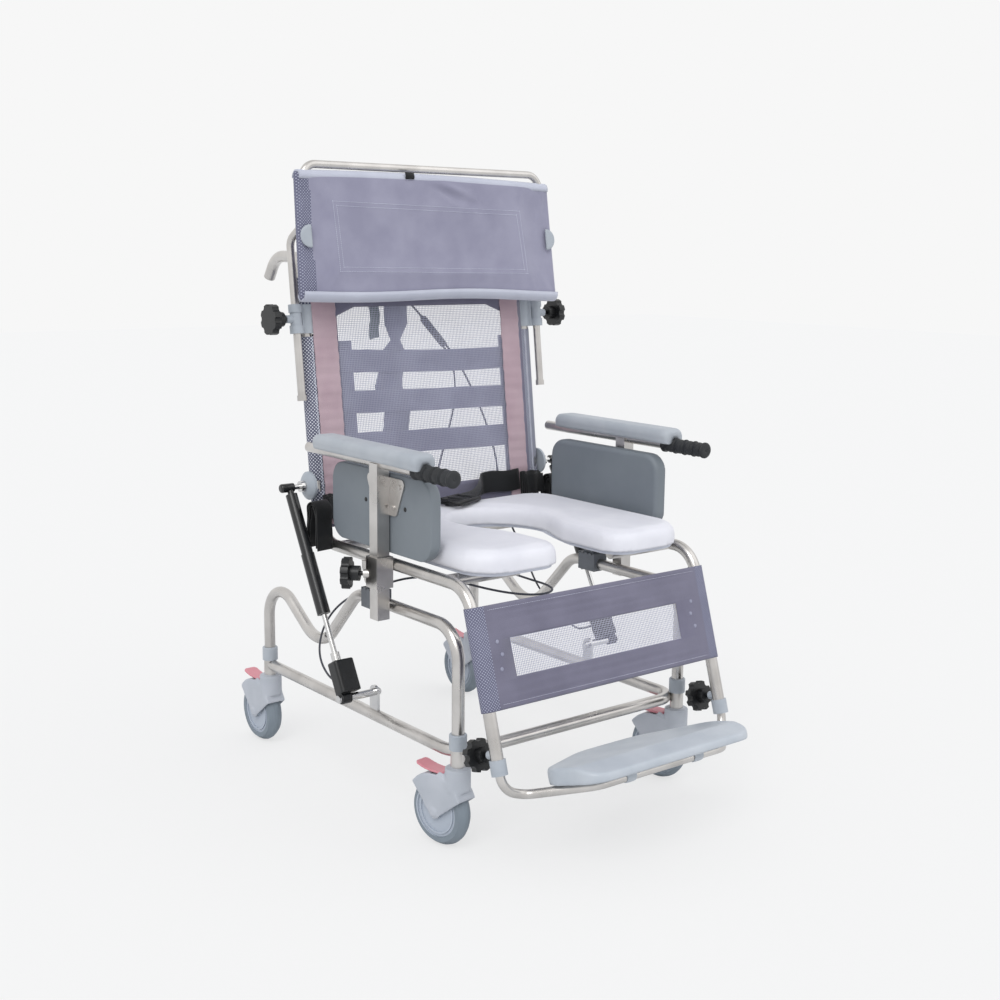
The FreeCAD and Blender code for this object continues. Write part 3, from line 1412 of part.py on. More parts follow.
def spring_cylinder():
    """Cylinder of the gas spring with the elbow at its top and the wider sleeve below."""
    start = spring_top + spring_down * cylinder_start
    end = spring_top + spring_down * cylinder_end
    sleeve_top = spring_top + spring_down * sleeve_start
    body = rod_between(start, sleeve_top, cylinder_diameter)
    sleeve = rod_between(sleeve_top, end, sleeve_diameter)
    neck = rod_between(spring_top, start, elbow_neck_diameter)
    inboard = spring_top - FreeCAD.Vector(eye_inboard, 0, 0)
    outboard = spring_top + FreeCAD.Vector(eye_outboard, 0, 0)
    elbow = rod_between(inboard, outboard, elbow_diameter)
    elbow = elbow.makeFillet(elbow_diameter / 4,
                             edges_where(elbow, lambda c: c.x > outboard.x - sling_gap))
    body = body.fuse([sleeve, neck, elbow]).removeSplitter()
    pin = rod_between(inboard, outboard - FreeCAD.Vector(eye_end_wall - running_clearance, 0, 0),
                      spring_pin_diameter + 2 * running_clearance)
    bore = rod_between(spring_top + spring_down * cylinder_bore_start, end, cylinder_bore)
    return body.cut(pin).cut(bore)


def spring_rod():
    """Polished rod with the black neck above the release head."""
    head_top = spring_foot - spring_down * head_reach
    rod = rod_between(spring_top + spring_down * rod_start, head_top + spring_down * rod_socket,
                      rod_diameter)
    neck = rod_between(head_top - spring_down * spring_neck_length, head_top, spring_neck_diameter)
    return rod.fuse(neck).removeSplitter()


def release_head():
    """Valve housing on the rod with the boss that turns on the lower bolt."""
    up = spring_down * -1
    aside = direction(0, -up.z, up.y)
    low = spring_foot + up * head_start - aside * (head_thickness / 2)
    low = low - FreeCAD.Vector(head_inboard, 0, 0)
    corner = [low, low + aside * head_thickness,
              low + aside * head_thickness + up * (head_reach - head_start),
              low + up * (head_reach - head_start)]
    block = Part.Face(Part.makePolygon(corner + corner[:1]))
    block = block.extrude(FreeCAD.Vector(head_inboard + head_outboard, 0, 0))
    block = block.makeFillet(head_edge_radius, edges_where(
        block, lambda c: abs((c - low).dot(up) - (head_reach - head_start) / 2) < sling_gap))
    block = block.makeFillet(head_edge_radius / 2, edges_where(
        block, lambda c: (c - low).dot(up) > head_reach - head_start - sling_gap))
    boss_start = spring_foot - FreeCAD.Vector(boss_inboard, 0, 0)
    boss_end = spring_foot + FreeCAD.Vector(head_outboard, 0, 0)
    boss = rod_between(boss_start, boss_end, head_boss_diameter)
    bore = rod_between(boss_start, boss_end, spring_pin_diameter + 2 * running_clearance)
    head_top = spring_foot + up * head_reach
    socket = rod_between(head_top, head_top - up * rod_socket, rod_diameter)
    return block.fuse(boss).removeSplitter().cut(bore).cut(socket)


# Lap belt
def belt_buckle():
    """Plastic buckle that lies on the rear of the seat, turned a little."""
    half = buckle_length / 2
    body = Part.makeBox(buckle_length, buckle_width, buckle_height,
                        FreeCAD.Vector(-half, -buckle_width / 2, 0))
    body = body.makeFillet(buckle_height / 3, edges_where(body, lambda c: 0 < c.z))
    body.rotate(FreeCAD.Vector(0, 0, 0), FreeCAD.Vector(0, 0, 1), buckle_turn)
    body.translate(point(buckle_middle, buckle_back, cushion_top + sling_gap))
    return body


def belt_strap(side):
    """Webbing from the buckle that twists upright in front of the sling and ends folded at the tube."""
    turn = math.radians(buckle_turn)
    along = FreeCAD.Vector(math.cos(turn), math.sin(turn), 0) * side
    wide = FreeCAD.Vector(-math.sin(turn), math.cos(turn), 0)
    thick = FreeCAD.Vector(0, 0, 1)
    level = cushion_top + sling_gap + buckle_height / 2
    begin = point(buckle_middle, buckle_back, level) + along * (buckle_length / 2)
    upright_back = sling_front_at(fold_bottom) - belt_gap - belt_thickness
    middle = point(side * belt_twist_end, upright_back, belt_height)

    def band(place, across, through):
        half_width = across * (belt_width / 2)
        half_thick = through * (belt_thickness / 2)
        corners = [place - half_width - half_thick, place + half_width - half_thick,
                   place + half_width + half_thick, place - half_width + half_thick]
        return Part.makePolygon(corners + corners[:1])

    slant = (wide - thick).normalize()
    slant_through = (thick + wide).normalize()
    halfway = (begin + middle) / 2
    backward = FreeCAD.Vector(0, 1, 0)
    sections = [band(begin, wide, thick), band(halfway, slant, slant_through),
                band(middle, thick * -1, backward)]
    twist = Part.makeLoft(sections[:2], True, True).fuse(Part.makeLoft(sections[1:], True, True))
    end = point(side * fold_start, upright_back, belt_height)
    run = Part.Face(sections[-1]).extrude(end - middle)
    return twist.fuse(run)


def belt_fold():
    """Folded end of the belt in front of the back tube, with a flap down its outer side."""
    rear = sling_front_at(fold_bottom) - belt_gap
    front = rear - fold_thickness
    fold = box(fold_start, fold_end, front, rear, fold_bottom, fold_top)
    fold = fold.makeFillet(fold_thickness / 3, edges_where(
        fold, lambda c: c.z > fold_top - belt_gap or c.y < front_post_y + front + belt_gap))
    flap = box(fold_end - flap_thickness, fold_end, front, front + flap_width,
               flap_bottom, flap_top)
    flap = flap.makeFillet(flap_thickness / 3, edges_where(flap, lambda c: c.z < flap_top - belt_gap))
    return fold.fuse(flap).removeSplitter()


def lap_belt():
    """Belt in two halves with its buckle and folded ends."""
    return [belt_buckle(), belt_strap(1), belt_strap(-1)] + both_sides([belt_fold()])


# Release lever and cables
def lever_bracket():
    """Forked bracket on the inner side of the right back tube, with the lever's pin."""
    back = back_tube_at(lever_height)
    half = lever_fork_width / 2
    tube_side = frame_half_width - tube_radius
    pin_x = tube_side - lever_pin_reach
    low = lever_height - lever_base_height / 2
    base = box(pin_x + lever_hub_radius + side_clearance, tube_side, back - half, back + half,
               low, low + lever_base_height)
    pin_start = point(pin_x, back - half, lever_height)
    pin_end = point(pin_x, back + half, lever_height)
    ears = []
    for start in (back - half, back + half - lever_ear_width):
        ear = box(pin_x, pin_x + 2 * lever_hub_radius, start, start + lever_ear_width,
                  lever_height - lever_hub_radius, lever_height + lever_hub_radius)
        eye = rod_between(point(pin_x, start, lever_height),
                          point(pin_x, start + lever_ear_width, lever_height), 2 * lever_hub_radius)
        ears.extend([ear, eye])
    pin = rod_between(pin_start, pin_end, lever_pin_diameter)
    return base.fuse(ears + [pin]).removeSplitter()


def release_lever():
    """Lift lever that the attendant pulls to free the gas springs."""
    back = back_tube_at(lever_height)
    half = lever_fork_width / 2 - lever_ear_width - side_clearance
    pin_x = frame_half_width - tube_radius - lever_pin_reach
    start = point(pin_x, back - half, lever_height)
    end = point(pin_x, back + half, lever_height)
    hub = rod_between(start, end, 2 * lever_hub_radius)
    blade = box(pin_x - lever_length, pin_x, back - half, back + half,
                lever_height - lever_thickness / 2, lever_height + lever_thickness / 2)
    paddle = box(pin_x - lever_length - lever_width, pin_x - lever_length, back - lever_width,
                 back + lever_width, lever_height - lever_thickness / 2,
                 lever_height + lever_thickness / 2)
    tip = pin_x - lever_length - lever_width
    paddle = paddle.makeFillet(lever_width / 3, edges_where(
        paddle, lambda c: c.x < tip + sling_gap and abs(c.z - lever_height) < sling_gap))
    body = hub.fuse([blade, paddle]).removeSplitter()
    return body.cut(rod_between(start, end, lever_pin_diameter + 2 * running_clearance))


def cable(route):
    """A cable along its route: straight runs joined by arcs as large as the runs allow."""
    places = [point(*stop) for stop in route]
    radii = []
    for before, here, after in zip(places, places[1:], places[2:]):
        turn = (here - before).getAngle(after - here)
        shorter = min((here - before).Length, (after - here).Length)
        radii.append(cable_arc_share * shorter / math.tan(turn / 2))
    print("cable radii", [round(radius, 1) for radius in radii])
    path = rounded_path(places, radii)
    solid = sweep(path, Part.Wire(Part.makeCircle(cable_diameter / 2, places[0],
                                                  places[1] - places[0])))
    print("cable volume against section times length",
          round(solid.Volume / (math.pi * cable_diameter ** 2 / 4 * path.Length), 4))
    return solid


def release_cables():
    """Cable from the lever to the splitter barrel, and the two that leave it for the springs."""
    start = point(*splitter_top)
    end = point(*splitter_bottom)
    barrel = rod_between(start, end, splitter_diameter)
    rims = [edge for edge in barrel.Edges if abs((edge.CenterOfMass - start).Length
                                                 - (end - start).Length / 2) > splitter_diameter]
    barrel = barrel.makeChamfer(splitter_diameter / 6, rims)
    return [cable(upper_route), barrel, cable(right_route), cable(left_route)]


def export_all():
    """Builds every node."""
    os.makedirs("parts", exist_ok=True)
    tube = side_tube()
    hump = hump_tube()
    saddle = pivot_saddle()
    for side, name in side_names:
        export("hump_tube_" + name, on_side(hump, side))
        export("side_tube_" + name, on_side(tube, side))
        export("arm_frame_" + name, [on_side(piece, side) for piece in arm_frame()])
        export("arm_pad_" + name, on_side(arm_pad(), side))
        export("hand_grip_" + name, on_side(hand_grip(), side))
        export("side_panel_" + name, on_side(side_panel(), side))
        export("spring_cylinder_" + name, on_side(spring_cylinder(), side))
        export("spring_rod_" + name, on_side(spring_rod(), side))
        export("release_head_" + name, on_side(release_head(), side))
        export("headrest_knob_" + name, on_side(headrest_knob(), side))
        export("arm_knob_" + name, on_side(arm_knob(), side))
        export("footrest_knob_" + name, on_side(footrest_knob(), side))
    export("lower_frame", lower_frame())
    export("post_collars", post_collars())
    export("pivot_saddles", both_sides([saddle]))
    export("tilt_hinges", both_sides(tilt_hinge()))
    export("spring_brackets", both_sides(spring_bracket()))
    for side, back, name in corner_names:
        export("caster_fork_" + name, turned(caster_fork(), side, back))
        export("caster_wheel_" + name, turned(caster_wheel(), side, back))
        export("brake_pedal_" + name, turned(brake_pedal(), side, back))
    export("cross_bars", cross_bars())
    export("seat_board", seat_board())
    export("seat_cushion", seat_cushion())
    export("back_sling", back_sling())
    export("back_straps", back_straps())
    export("calf_panel", calf_panel())
    export("arm_sockets", both_sides([arm_socket()]))
    export("tube_clamps", both_sides(headrest_clamp() + [calf_collar(), calf_boss()]))
    export("spring_top_pins", both_sides([spring_top_pin()]))
    export("spacer_discs", both_sides([spacer_disc()]))
    export("headrest_frame", headrest_frame())
    export("headrest_cover", headrest_cover())
    export("footrest_loop", footrest_loop())
    export("foot_plate", foot_plate())
    export("lap_belt", lap_belt())
    export("lever_bracket", other_side(lever_bracket()))
    export("release_lever", other_side(release_lever()))
    export("release_cables", release_cables())
    export("cable_tails", [cable(right_tail), cable(left_tail)])


export_all()
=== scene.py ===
import logging
import math
from contextlib import contextmanager
from dataclasses import dataclass, field
from enum import Enum
from typing import Callable, Iterable, Iterator, Sequence

import bmesh
import bpy
import numpy as np
from mathutils import Matrix, Vector

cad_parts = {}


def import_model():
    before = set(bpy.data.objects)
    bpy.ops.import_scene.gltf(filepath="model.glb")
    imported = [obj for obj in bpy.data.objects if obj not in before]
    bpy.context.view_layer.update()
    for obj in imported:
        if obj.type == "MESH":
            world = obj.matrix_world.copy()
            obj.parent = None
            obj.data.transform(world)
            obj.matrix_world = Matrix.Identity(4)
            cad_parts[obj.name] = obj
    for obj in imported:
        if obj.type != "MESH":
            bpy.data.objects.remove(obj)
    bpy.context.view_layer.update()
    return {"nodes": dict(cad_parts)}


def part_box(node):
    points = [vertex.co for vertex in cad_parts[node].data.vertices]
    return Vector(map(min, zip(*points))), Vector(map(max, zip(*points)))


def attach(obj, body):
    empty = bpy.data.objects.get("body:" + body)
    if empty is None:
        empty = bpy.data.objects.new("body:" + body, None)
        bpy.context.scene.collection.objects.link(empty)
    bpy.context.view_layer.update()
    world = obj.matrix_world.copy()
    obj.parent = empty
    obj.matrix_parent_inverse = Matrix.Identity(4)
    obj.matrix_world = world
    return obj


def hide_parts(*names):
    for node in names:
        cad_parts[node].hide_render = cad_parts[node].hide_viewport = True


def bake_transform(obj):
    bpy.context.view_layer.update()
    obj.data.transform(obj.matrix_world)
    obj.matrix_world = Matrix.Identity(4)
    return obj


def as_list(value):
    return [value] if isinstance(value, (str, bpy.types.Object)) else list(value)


# Looks of the tilt-in-space shower chair. Lengths are written in millimetres and turned to metres when meshes
# are made. Places along the chair are distances behind the front caster posts, as in the part's own drawing.
MM = 0.001
FRONT_POST = -241.5
RECLINE = math.radians(7.0)
BACK_FORWARD = Vector((0.0, -math.cos(RECLINE), math.sin(RECLINE)))
BACK_UP = Vector((0.0, math.sin(RECLINE), math.cos(RECLINE)))
# Height of the seat tubes' axes, and where the axes of the back and calf tubes cross it
SEAT_AXIS = 468.0
BACK_START = 441.0
CALF_START = -24.6
# How far the calf tubes go forward for each millimetre down, and the height of the calf panel's top edge
CALF_SLOPE = 0.30578
CALF_TOP = 436.0
CALF_DOWN = Vector((0.0, -0.29241, -0.95629))
CALF_FORWARD = Vector((0.0, -0.95629, 0.29241))
LOG = logging.getLogger("shower_chair")

Thing = bpy.types.Object
Material = bpy.types.Material
Tree = bpy.types.NodeTree
Node = bpy.types.Node
Socket = bpy.types.NodeSocket
Colour = tuple[float, float, float, float]
Places = Sequence[Vector]
Pairs = Sequence[tuple[float, float]]
Route = tuple[tuple[float, float, float], ...]
Onto = Callable[[float, float, float], Vector]


class Side(Enum):
    """The sitter's two sides, with the sign of X on each."""

    LEFT = 1
    RIGHT = -1

    @property
    def word(self) -> str:
        """The side's name, as the nodes of the part use it."""
        return self.name.lower()


# Places
def place(x: float, back: float, height: float) -> Vector:
    """A place beside the middle, behind the front posts and above the floor.

    Args:
        x: Millimetres to the sitter's left.
        back: Millimetres behind the front posts.
        height: Millimetres above the floor.

    Returns:
        The place in metres.
    """
    return Vector((x, FRONT_POST + back, height)) * MM


def on_back(x: float, height: float, forward: float) -> Vector:
    """A place square in front of the back tubes' axes.

    Args:
        x: Millimetres to the sitter's left.
        height: Height on the tubes' axes, in millimetres.
        forward: Millimetres in front of the axes, square to the lean.

    Returns:
        The place in metres.
    """
    axis = BACK_START + (height - SEAT_AXIS) * math.tan(RECLINE)
    return place(x, axis - forward * math.cos(RECLINE), height + forward * math.sin(RECLINE))


def on_calf(x: float, down: float, forward: float) -> Vector:
    """A place on the calf tubes, measured down from the calf panel's top edge.

    Args:
        x: Millimetres to the sitter's left.
        down: Millimetres down along the tubes.
        forward: Millimetres in front of the tubes' axes.

    Returns:
        The place in metres.
    """
    top = place(x, CALF_START - (SEAT_AXIS - CALF_TOP) * CALF_SLOPE, CALF_TOP)
    return top + (CALF_DOWN * down + CALF_FORWARD * forward) * MM


def eased(share: float) -> float:
    """A share from 0 to 1 that starts and ends slowly."""
    return share * share * (3 - 2 * share)


def travelled(points: Sequence[Sequence[float]]) -> list[float]:
    """Length of a chain up to each of its points."""
    lengths = [0.0]
    for a, b in zip(points, points[1:]):
        lengths.append(lengths[-1] + math.dist(a, b))
    return lengths


# Small mesh tools
@contextmanager
def mesh_of(thing: Thing) -> Iterator[bmesh.types.BMesh]:
    """Opens an object's mesh for editing and writes it back at the end."""
    work = bmesh.new()
    work.from_mesh(thing.data)
    yield work
    work.to_mesh(thing.data)
    work.free()


def link(name: str, data: bpy.types.ID) -> Thing:
    """Makes an object from its data and links it to the scene."""
    thing = bpy.data.objects.new(name, data)
    bpy.context.scene.collection.objects.link(thing)
    return thing


def mesh_object(name: str, points: Iterable[Vector], faces: Iterable[Sequence[int]],
                materials: Sequence[Material], flats: Pairs | None = None) -> Thing:
    """Makes a smooth-shaded object from points and faces.

    Args:
        name: Name of the piece.
        points: Places in metres.
        faces: Corner numbers of each face.
        materials: Materials of the piece.
        flats: Place of each point on the flat cloth in metres, kept as the UV map.

    Returns:
        The new object, linked to the scene.
    """
    mesh = bpy.data.meshes.new(name)
    mesh.from_pydata([tuple(p) for p in points], [], [tuple(f) for f in faces])
    for material in materials:
        mesh.materials.append(material)
    if flats is not None:
        layer = mesh.uv_layers.new(name="Flat")
        for loop in mesh.loops:
            layer.data[loop.index].uv = flats[loop.vertex_index]
    mesh.polygons.foreach_set("use_smooth", [True] * len(mesh.polygons))
    mesh.update()
    return link(name, mesh)


def quads(rows: int, count: int, closed: bool = True) -> list[tuple[int, ...]]:
    """Corner numbers of the faces between neighbouring rows of points.

    Args:
        rows: Number of rows.
        count: Number of points in each row.
        closed: Whether each row closes on itself.

    Returns:
        Four corners for each face.
    """
    faces = []
    for start in range(0, (rows - 1) * count, count):
        for i in range(count if closed else count - 1):
            k = (i + 1) % count
            faces.append((start + i, start + k, start + count + k, start + count + i))
    return faces


def grid_object(name: str, across: int, along: int, at: Callable[[int, int], Vector], material: Material,
                flat: Callable[[int, int], tuple[float, float]]) -> Thing:
    """Makes a surface from a grid of points.

    Args:
        name: Name of the piece.
        across: Number of points in each row.
        along: Number of rows.
        at: Gives the place of a point from its column and row.
        material: The piece's material.
        flat: Gives the place of a point on the flat cloth, in metres.

    Returns:
        The new object.
    """
    points = [at(i, j) for j in range(along) for i in range(across)]
    flats = [flat(i, j) for j in range(along) for i in range(across)]
    return mesh_object(name, points, quads(along, across, closed=False), [material], flats)


def face_outwards(thing: Thing, merge: float = 1e-5) -> None:
    """Turns all faces outwards.

    Args:
        thing: The object to mend.
        merge: Distance in metres under which doubled points are merged first, or 0 to leave them.
    """
    with mesh_of(thing) as work:
        if merge:
            bmesh.ops.remove_doubles(work, verts=work.verts, dist=merge)
        bmesh.ops.recalc_face_normals(work, faces=work.faces)
    thing.data.update()


def closed_loft(name: str, rings: Sequence[Places], material: Material, flats: Pairs | None = None,
                merge: float = 1e-5) -> Thing:
    """Joins closed rings of equal count with faces and caps both ends.

    Args:
        name: Name of the piece.
        rings: Rings of places, in order.
        material: The piece's material.
        flats: Place of each point on the flat cloth, in metres.
        merge: Distance in metres under which doubled points are merged, or 0.

    Returns:
        The new object, with its faces pointing outwards.
    """
    count = len(rings[0])
    faces = quads(len(rings), count)
    faces.append(tuple(reversed(range(count))))
    faces.append(tuple(range((len(rings) - 1) * count, len(rings) * count)))
    thing = mesh_object(name, [p for ring in rings for p in ring], faces, [material], flats)
    face_outwards(thing, merge)
    return thing


def modify(thing: Thing, name: str, kind: str, **settings: object) -> bpy.types.Modifier:
    """Adds a modifier with its settings.

    Args:
        thing: The object it works on.
        name: The modifier's name.
        kind: Its type.
        **settings: Its settings.

    Returns:
        The new modifier.
    """
    modifier = thing.modifiers.new(name, kind)
    for key, value in settings.items():
        setattr(modifier, key, value)
    return modifier


def apply_modifiers(thing: Thing) -> Thing:
    """Replaces an object's mesh with what its modifiers make of it, and removes them."""
    graph = bpy.context.evaluated_depsgraph_get()
    made = bpy.data.meshes.new_from_object(thing.evaluated_get(graph), preserve_all_data_layers=True,
                                           depsgraph=graph)
    thing.modifiers.clear()
    thing.data = made
    return thing


def join(name: str, things: Sequence[Thing]) -> Thing:
    """Joins objects into one piece.

    Args:
        name: Name of the joined piece.
        things: Objects with no modifiers.

    Returns:
        The joined object.
    """
    with bpy.context.temp_override(active_object=things[0], selected_editable_objects=list(things)):
        bpy.ops.object.join()
    things[0].name = name
    return things[0]


def ribbon(name: str, line: Places, wide: Places, width: float, thick: float, material: Material) -> Thing:
    """Makes a flat strap along a line.

    Args:
        name: Name of the piece.
        line: Places along the strap's middle.
        wide: The direction across the strap at each place.
        width: Width in millimetres.
        thick: Thickness in millimetres.
        material: The strap's material.

    Returns:
        The strap, with its flat place across and along as its UV map.
    """
    section = [(-0.5, -0.35), (-0.46, -0.5), (0.46, -0.5), (0.5, -0.35),
               (0.5, 0.35), (0.46, 0.5), (-0.46, 0.5), (-0.5, 0.35)]
    points, flats, gone = [], [], 0.0
    for k, spot in enumerate(line):
        ahead = line[min(k + 1, len(line) - 1)] - line[max(k - 1, 0)]
        through = ahead.cross(wide[k]).normalized()
        gone += (spot - line[k - 1]).length if k else 0.0
        for a, b in section:
            points.append(spot + wide[k].normalized() * (a * width * MM) + through * (b * thick * MM))
            flats.append((a * width * MM, gone))
    count = len(section)
    faces = quads(len(line), count)
    faces.append(tuple(range(count)))
    faces.append(tuple(reversed(range((len(line) - 1) * count, len(line) * count))))
    thing = mesh_object(name, points, faces, [material], flats)
    face_outwards(thing, 0.0)
    return thing


def lathe(name: str, centre: Vector, axis: Vector, profile: Pairs, turns: int, material: Material) -> Thing:
    """Turns a profile round an axis.

    Args:
        name: Name of the piece.
        centre: Where the profile's length starts, in metres.
        axis: Direction of the axis.
        profile: Pairs of length along the axis and radius, in millimetres.
        turns: Number of points round the axis.
        material: The piece's material.

    Returns:
        The closed, turned piece.
    """
    along = axis.normalized()
    side = along.orthogonal().normalized()
    other = along.cross(side)
    rings = []
    for length, radius in profile:
        ring = []
        for step in range(turns):
            angle = 2 * math.pi * step / turns
            out = side * math.cos(angle) + other * math.sin(angle)
            ring.append(centre + (along * length + out * max(radius, 0.01)) * MM)
        rings.append(ring)
    return closed_loft(name, rings, material)


def fit(pieces: Iterable[Thing], body: str, slot: str) -> None:
    """Puts pieces on a body of the part.

    Args:
        pieces: The pieces.
        body: Name of the body that carries them.
        slot: Not used.
    """
    for piece in pieces:
        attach(piece, body)


# Node tools
def feed(tree: Tree, node: Node, inputs: dict[str | int, object]) -> None:
    """Gives a node's inputs their values or links.

    Args:
        tree: The tree that holds the node.
        node: The node.
        inputs: Values or sockets, by the input's name or number.
    """
    for key, value in inputs.items():
        if isinstance(value, Socket):
            tree.links.new(value, node.inputs[key])
        else:
            node.inputs[key].default_value = value


def add_node(tree: Tree, kind: str, inputs: dict[str | int, object] | None = None,
             **settings: object) -> Node:
    """Adds a node with its settings and links.

    Args:
        tree: The shader or geometry tree.
        kind: The node's type.
        inputs: Values or sockets, by the input's name or number.
        **settings: Other settings of the node.

    Returns:
        The new node.
    """
    node = tree.nodes.new(kind)
    for key, value in settings.items():
        setattr(node, key, value)
    feed(tree, node, inputs or {})
    return node


def maths(tree: Tree, operation: str, *values: object) -> Socket:
    """What a mathematical operation makes of values or sockets."""
    return add_node(tree, "ShaderNodeMath", dict(enumerate(values)), operation=operation).outputs[0]


def spread(tree: Tree, value: Socket, low: float, high: float, first: float = 0.0,
           last: float = 1.0) -> Socket:
    """Spreads the stretch of a value from low to high over the stretch from first to last."""
    return add_node(tree, "ShaderNodeMapRange", {"Value": value, "From Min": low, "From Max": high,
                                                 "To Min": first, "To Max": last}).outputs["Result"]


def cleared(data: Material | bpy.types.World) -> Tree:
    """The empty node tree of a material or a world."""
    data.use_nodes = True
    data.node_tree.nodes.clear()
    return data.node_tree


def linear(hex_colour: str) -> Colour:
    """Turns an sRGB hex colour such as #8F8FA3 to linear RGBA."""
    parts = [int(hex_colour[i:i + 2], 16) / 255 for i in (1, 3, 5)]
    bright = [c / 12.92 if c <= 0.04045 else ((c + 0.055) / 1.055) ** 2.4 for c in parts]
    return (bright[0], bright[1], bright[2], 1.0)


@dataclass(frozen=True)
class Finish:
    """What all finishes share: a name, two shades of one colour, roughness and the size of the mottling."""

    name: str
    colour: str
    second: str
    roughness: float = 0.5
    mottle_mm: float = 60.0

    def make(self) -> Material:
        """Builds the material: a surface shader that the finish dresses."""
        material = bpy.data.materials.new(self.name)
        tree = cleared(material)
        surface = add_node(tree, "ShaderNodeBsdfPrincipled", {"Roughness": self.roughness})
        add_node(tree, "ShaderNodeOutputMaterial", {"Surface": surface.outputs["BSDF"]})
        self.dress(tree, surface)
        return material

    def dress(self, tree: Tree, surface: Node) -> None:
        """Gives the surface shader its mottled colour."""
        feed(tree, surface, {"Base Color": self.mottled(tree)})

    def where(self, tree: Tree) -> Socket:
        """The object's own coordinates, in metres."""
        return add_node(tree, "ShaderNodeTexCoord").outputs["Object"]

    def flat(self, tree: Tree) -> Socket:
        """The place on the flat cloth, in metres."""
        return add_node(tree, "ShaderNodeUVMap", uv_map="Flat").outputs["UV"]

    def noise(self, tree: Tree, size_mm: float, detail: float = 3.0) -> Socket:
        """Soft noise whose patches have a real size.

        Args:
            tree: The material's tree.
            size_mm: Size of a patch.
            detail: Octaves of finer noise.

        Returns:
            The noise's value socket.
        """
        values = {"Vector": self.where(tree), "Scale": 1.0 / (size_mm * MM), "Detail": detail}
        return add_node(tree, "ShaderNodeTexNoise", values).outputs["Fac"]

    def blend(self, tree: Tree, share: object, first: object, second: object) -> Socket:
        """Mixes two colours or sockets by a share from 0, the first, to 1, the second."""
        return add_node(tree, "ShaderNodeMix", {0: share, 6: first, 7: second}, data_type="RGBA").outputs[2]

    def mottled(self, tree: Tree) -> Socket:
        """The finish's colour with slow changes between its two shades."""
        share = spread(tree, self.noise(tree, self.mottle_mm), 0.35, 0.65)
        return self.blend(tree, share, linear(self.colour), linear(self.second))

    def wear(self, tree: Tree, surface: Node, size_mm: float, detail: float, least: float) -> None:
        """Makes the surface duller and shinier in patches.

        Args:
            tree: The material's tree.
            surface: The surface shader.
            size_mm: Size of a patch.
            detail: Octaves of finer noise.
            least: Share of the roughness in the shiniest patches.
        """
        marks = self.noise(tree, size_mm, detail)
        feed(tree, surface, {"Roughness": spread(tree, marks, 0.0, 1.0, self.roughness * least,
                                                 self.roughness * 1.15)})

    def bump(self, tree: Tree, surface: Node, height: Socket, depth_mm: float) -> None:
        """Gives the surface a relief of a real depth.

        Args:
            tree: The material's tree.
            surface: The surface shader.
            height: Relief from 0 to 1.
            depth_mm: Depth of the relief.
        """
        node = add_node(tree, "ShaderNodeBump", {"Height": height, "Distance": depth_mm * MM,
                                                 "Strength": 1.0})
        feed(tree, surface, {"Normal": node.outputs["Normal"]})


@dataclass(frozen=True)
class PolishedSteel(Finish):
    """Polished stainless steel, with water marks in its shine and a very fine unevenness."""

    grain_mm: float = 0.9

    def dress(self, tree: Tree, surface: Node) -> None:
        """Makes the surface metal, with marks in its shine and a very fine relief."""
        super().dress(tree, surface)
        feed(tree, surface, {"Metallic": 1.0})
        self.wear(tree, surface, 40.0, 1.0, 0.88)
        self.bump(tree, surface, self.noise(tree, self.grain_mm, 1.0), 0.0015)


@dataclass(frozen=True)
class Moulded(Finish):
    """Injection-moulded plastic with a fine spark-eroded grain."""

    grain_mm: float = 1.1
    grain_depth_mm: float = 0.035
    coat: float = 0.0

    def dress(self, tree: Tree, surface: Node) -> None:
        """Adds the clear coat, the wear and the grain."""
        super().dress(tree, surface)
        feed(tree, surface, {"Coat Weight": self.coat})
        self.wear(tree, surface, 25.0, 5.0, 0.85)
        self.bump(tree, surface, self.noise(tree, self.grain_mm, 2.0), self.grain_depth_mm)


@dataclass(frozen=True)
class WheelPlastic(Moulded):
    """Caster wheel: a paler moulded hub inside a darker tread, told apart by their distance from the axle."""

    centre: tuple[float, float, float] = (0.0, 0.0, 0.0)
    hub_mm: float = 46.0
    hub_colour: str = "#A9B1BC"

    def mottled(self, tree: Tree) -> Socket:
        """The tread's colour, with the hub's inside its radius."""
        tread = super().mottled(tree)
        away = add_node(tree, "ShaderNodeVectorMath", {0: self.where(tree), 1: self.centre},
                        operation="SUBTRACT")
        flat = add_node(tree, "ShaderNodeVectorMath", {0: away.outputs[0], 1: (0.0, 1.0, 1.0)},
                        operation="MULTIPLY")
        far = add_node(tree, "ShaderNodeVectorMath", {0: flat.outputs[0]}, operation="LENGTH")
        edge = spread(tree, far.outputs["Value"], (self.hub_mm - 0.4) * MM, (self.hub_mm + 0.4) * MM)
        return self.blend(tree, edge, linear(self.hub_colour), tread)


@dataclass(frozen=True)
class FoamSkin(Finish):
    """Integral polyurethane foam: a closed, softly grained skin with a low sheen."""

    pore_mm: float = 1.6

    def dress(self, tree: Tree, surface: Node) -> None:
        """Adds the sheen and the grain of the pores."""
        super().dress(tree, surface)
        feed(tree, surface, {"Sheen Weight": 0.15, "Specular IOR Level": 0.35})
        values = {"Vector": self.where(tree), "Scale": 1.0 / (self.pore_mm * MM)}
        cells = add_node(tree, "ShaderNodeTexVoronoi", values, feature="SMOOTH_F1")
        self.bump(tree, surface, cells.outputs["Distance"], 0.05)


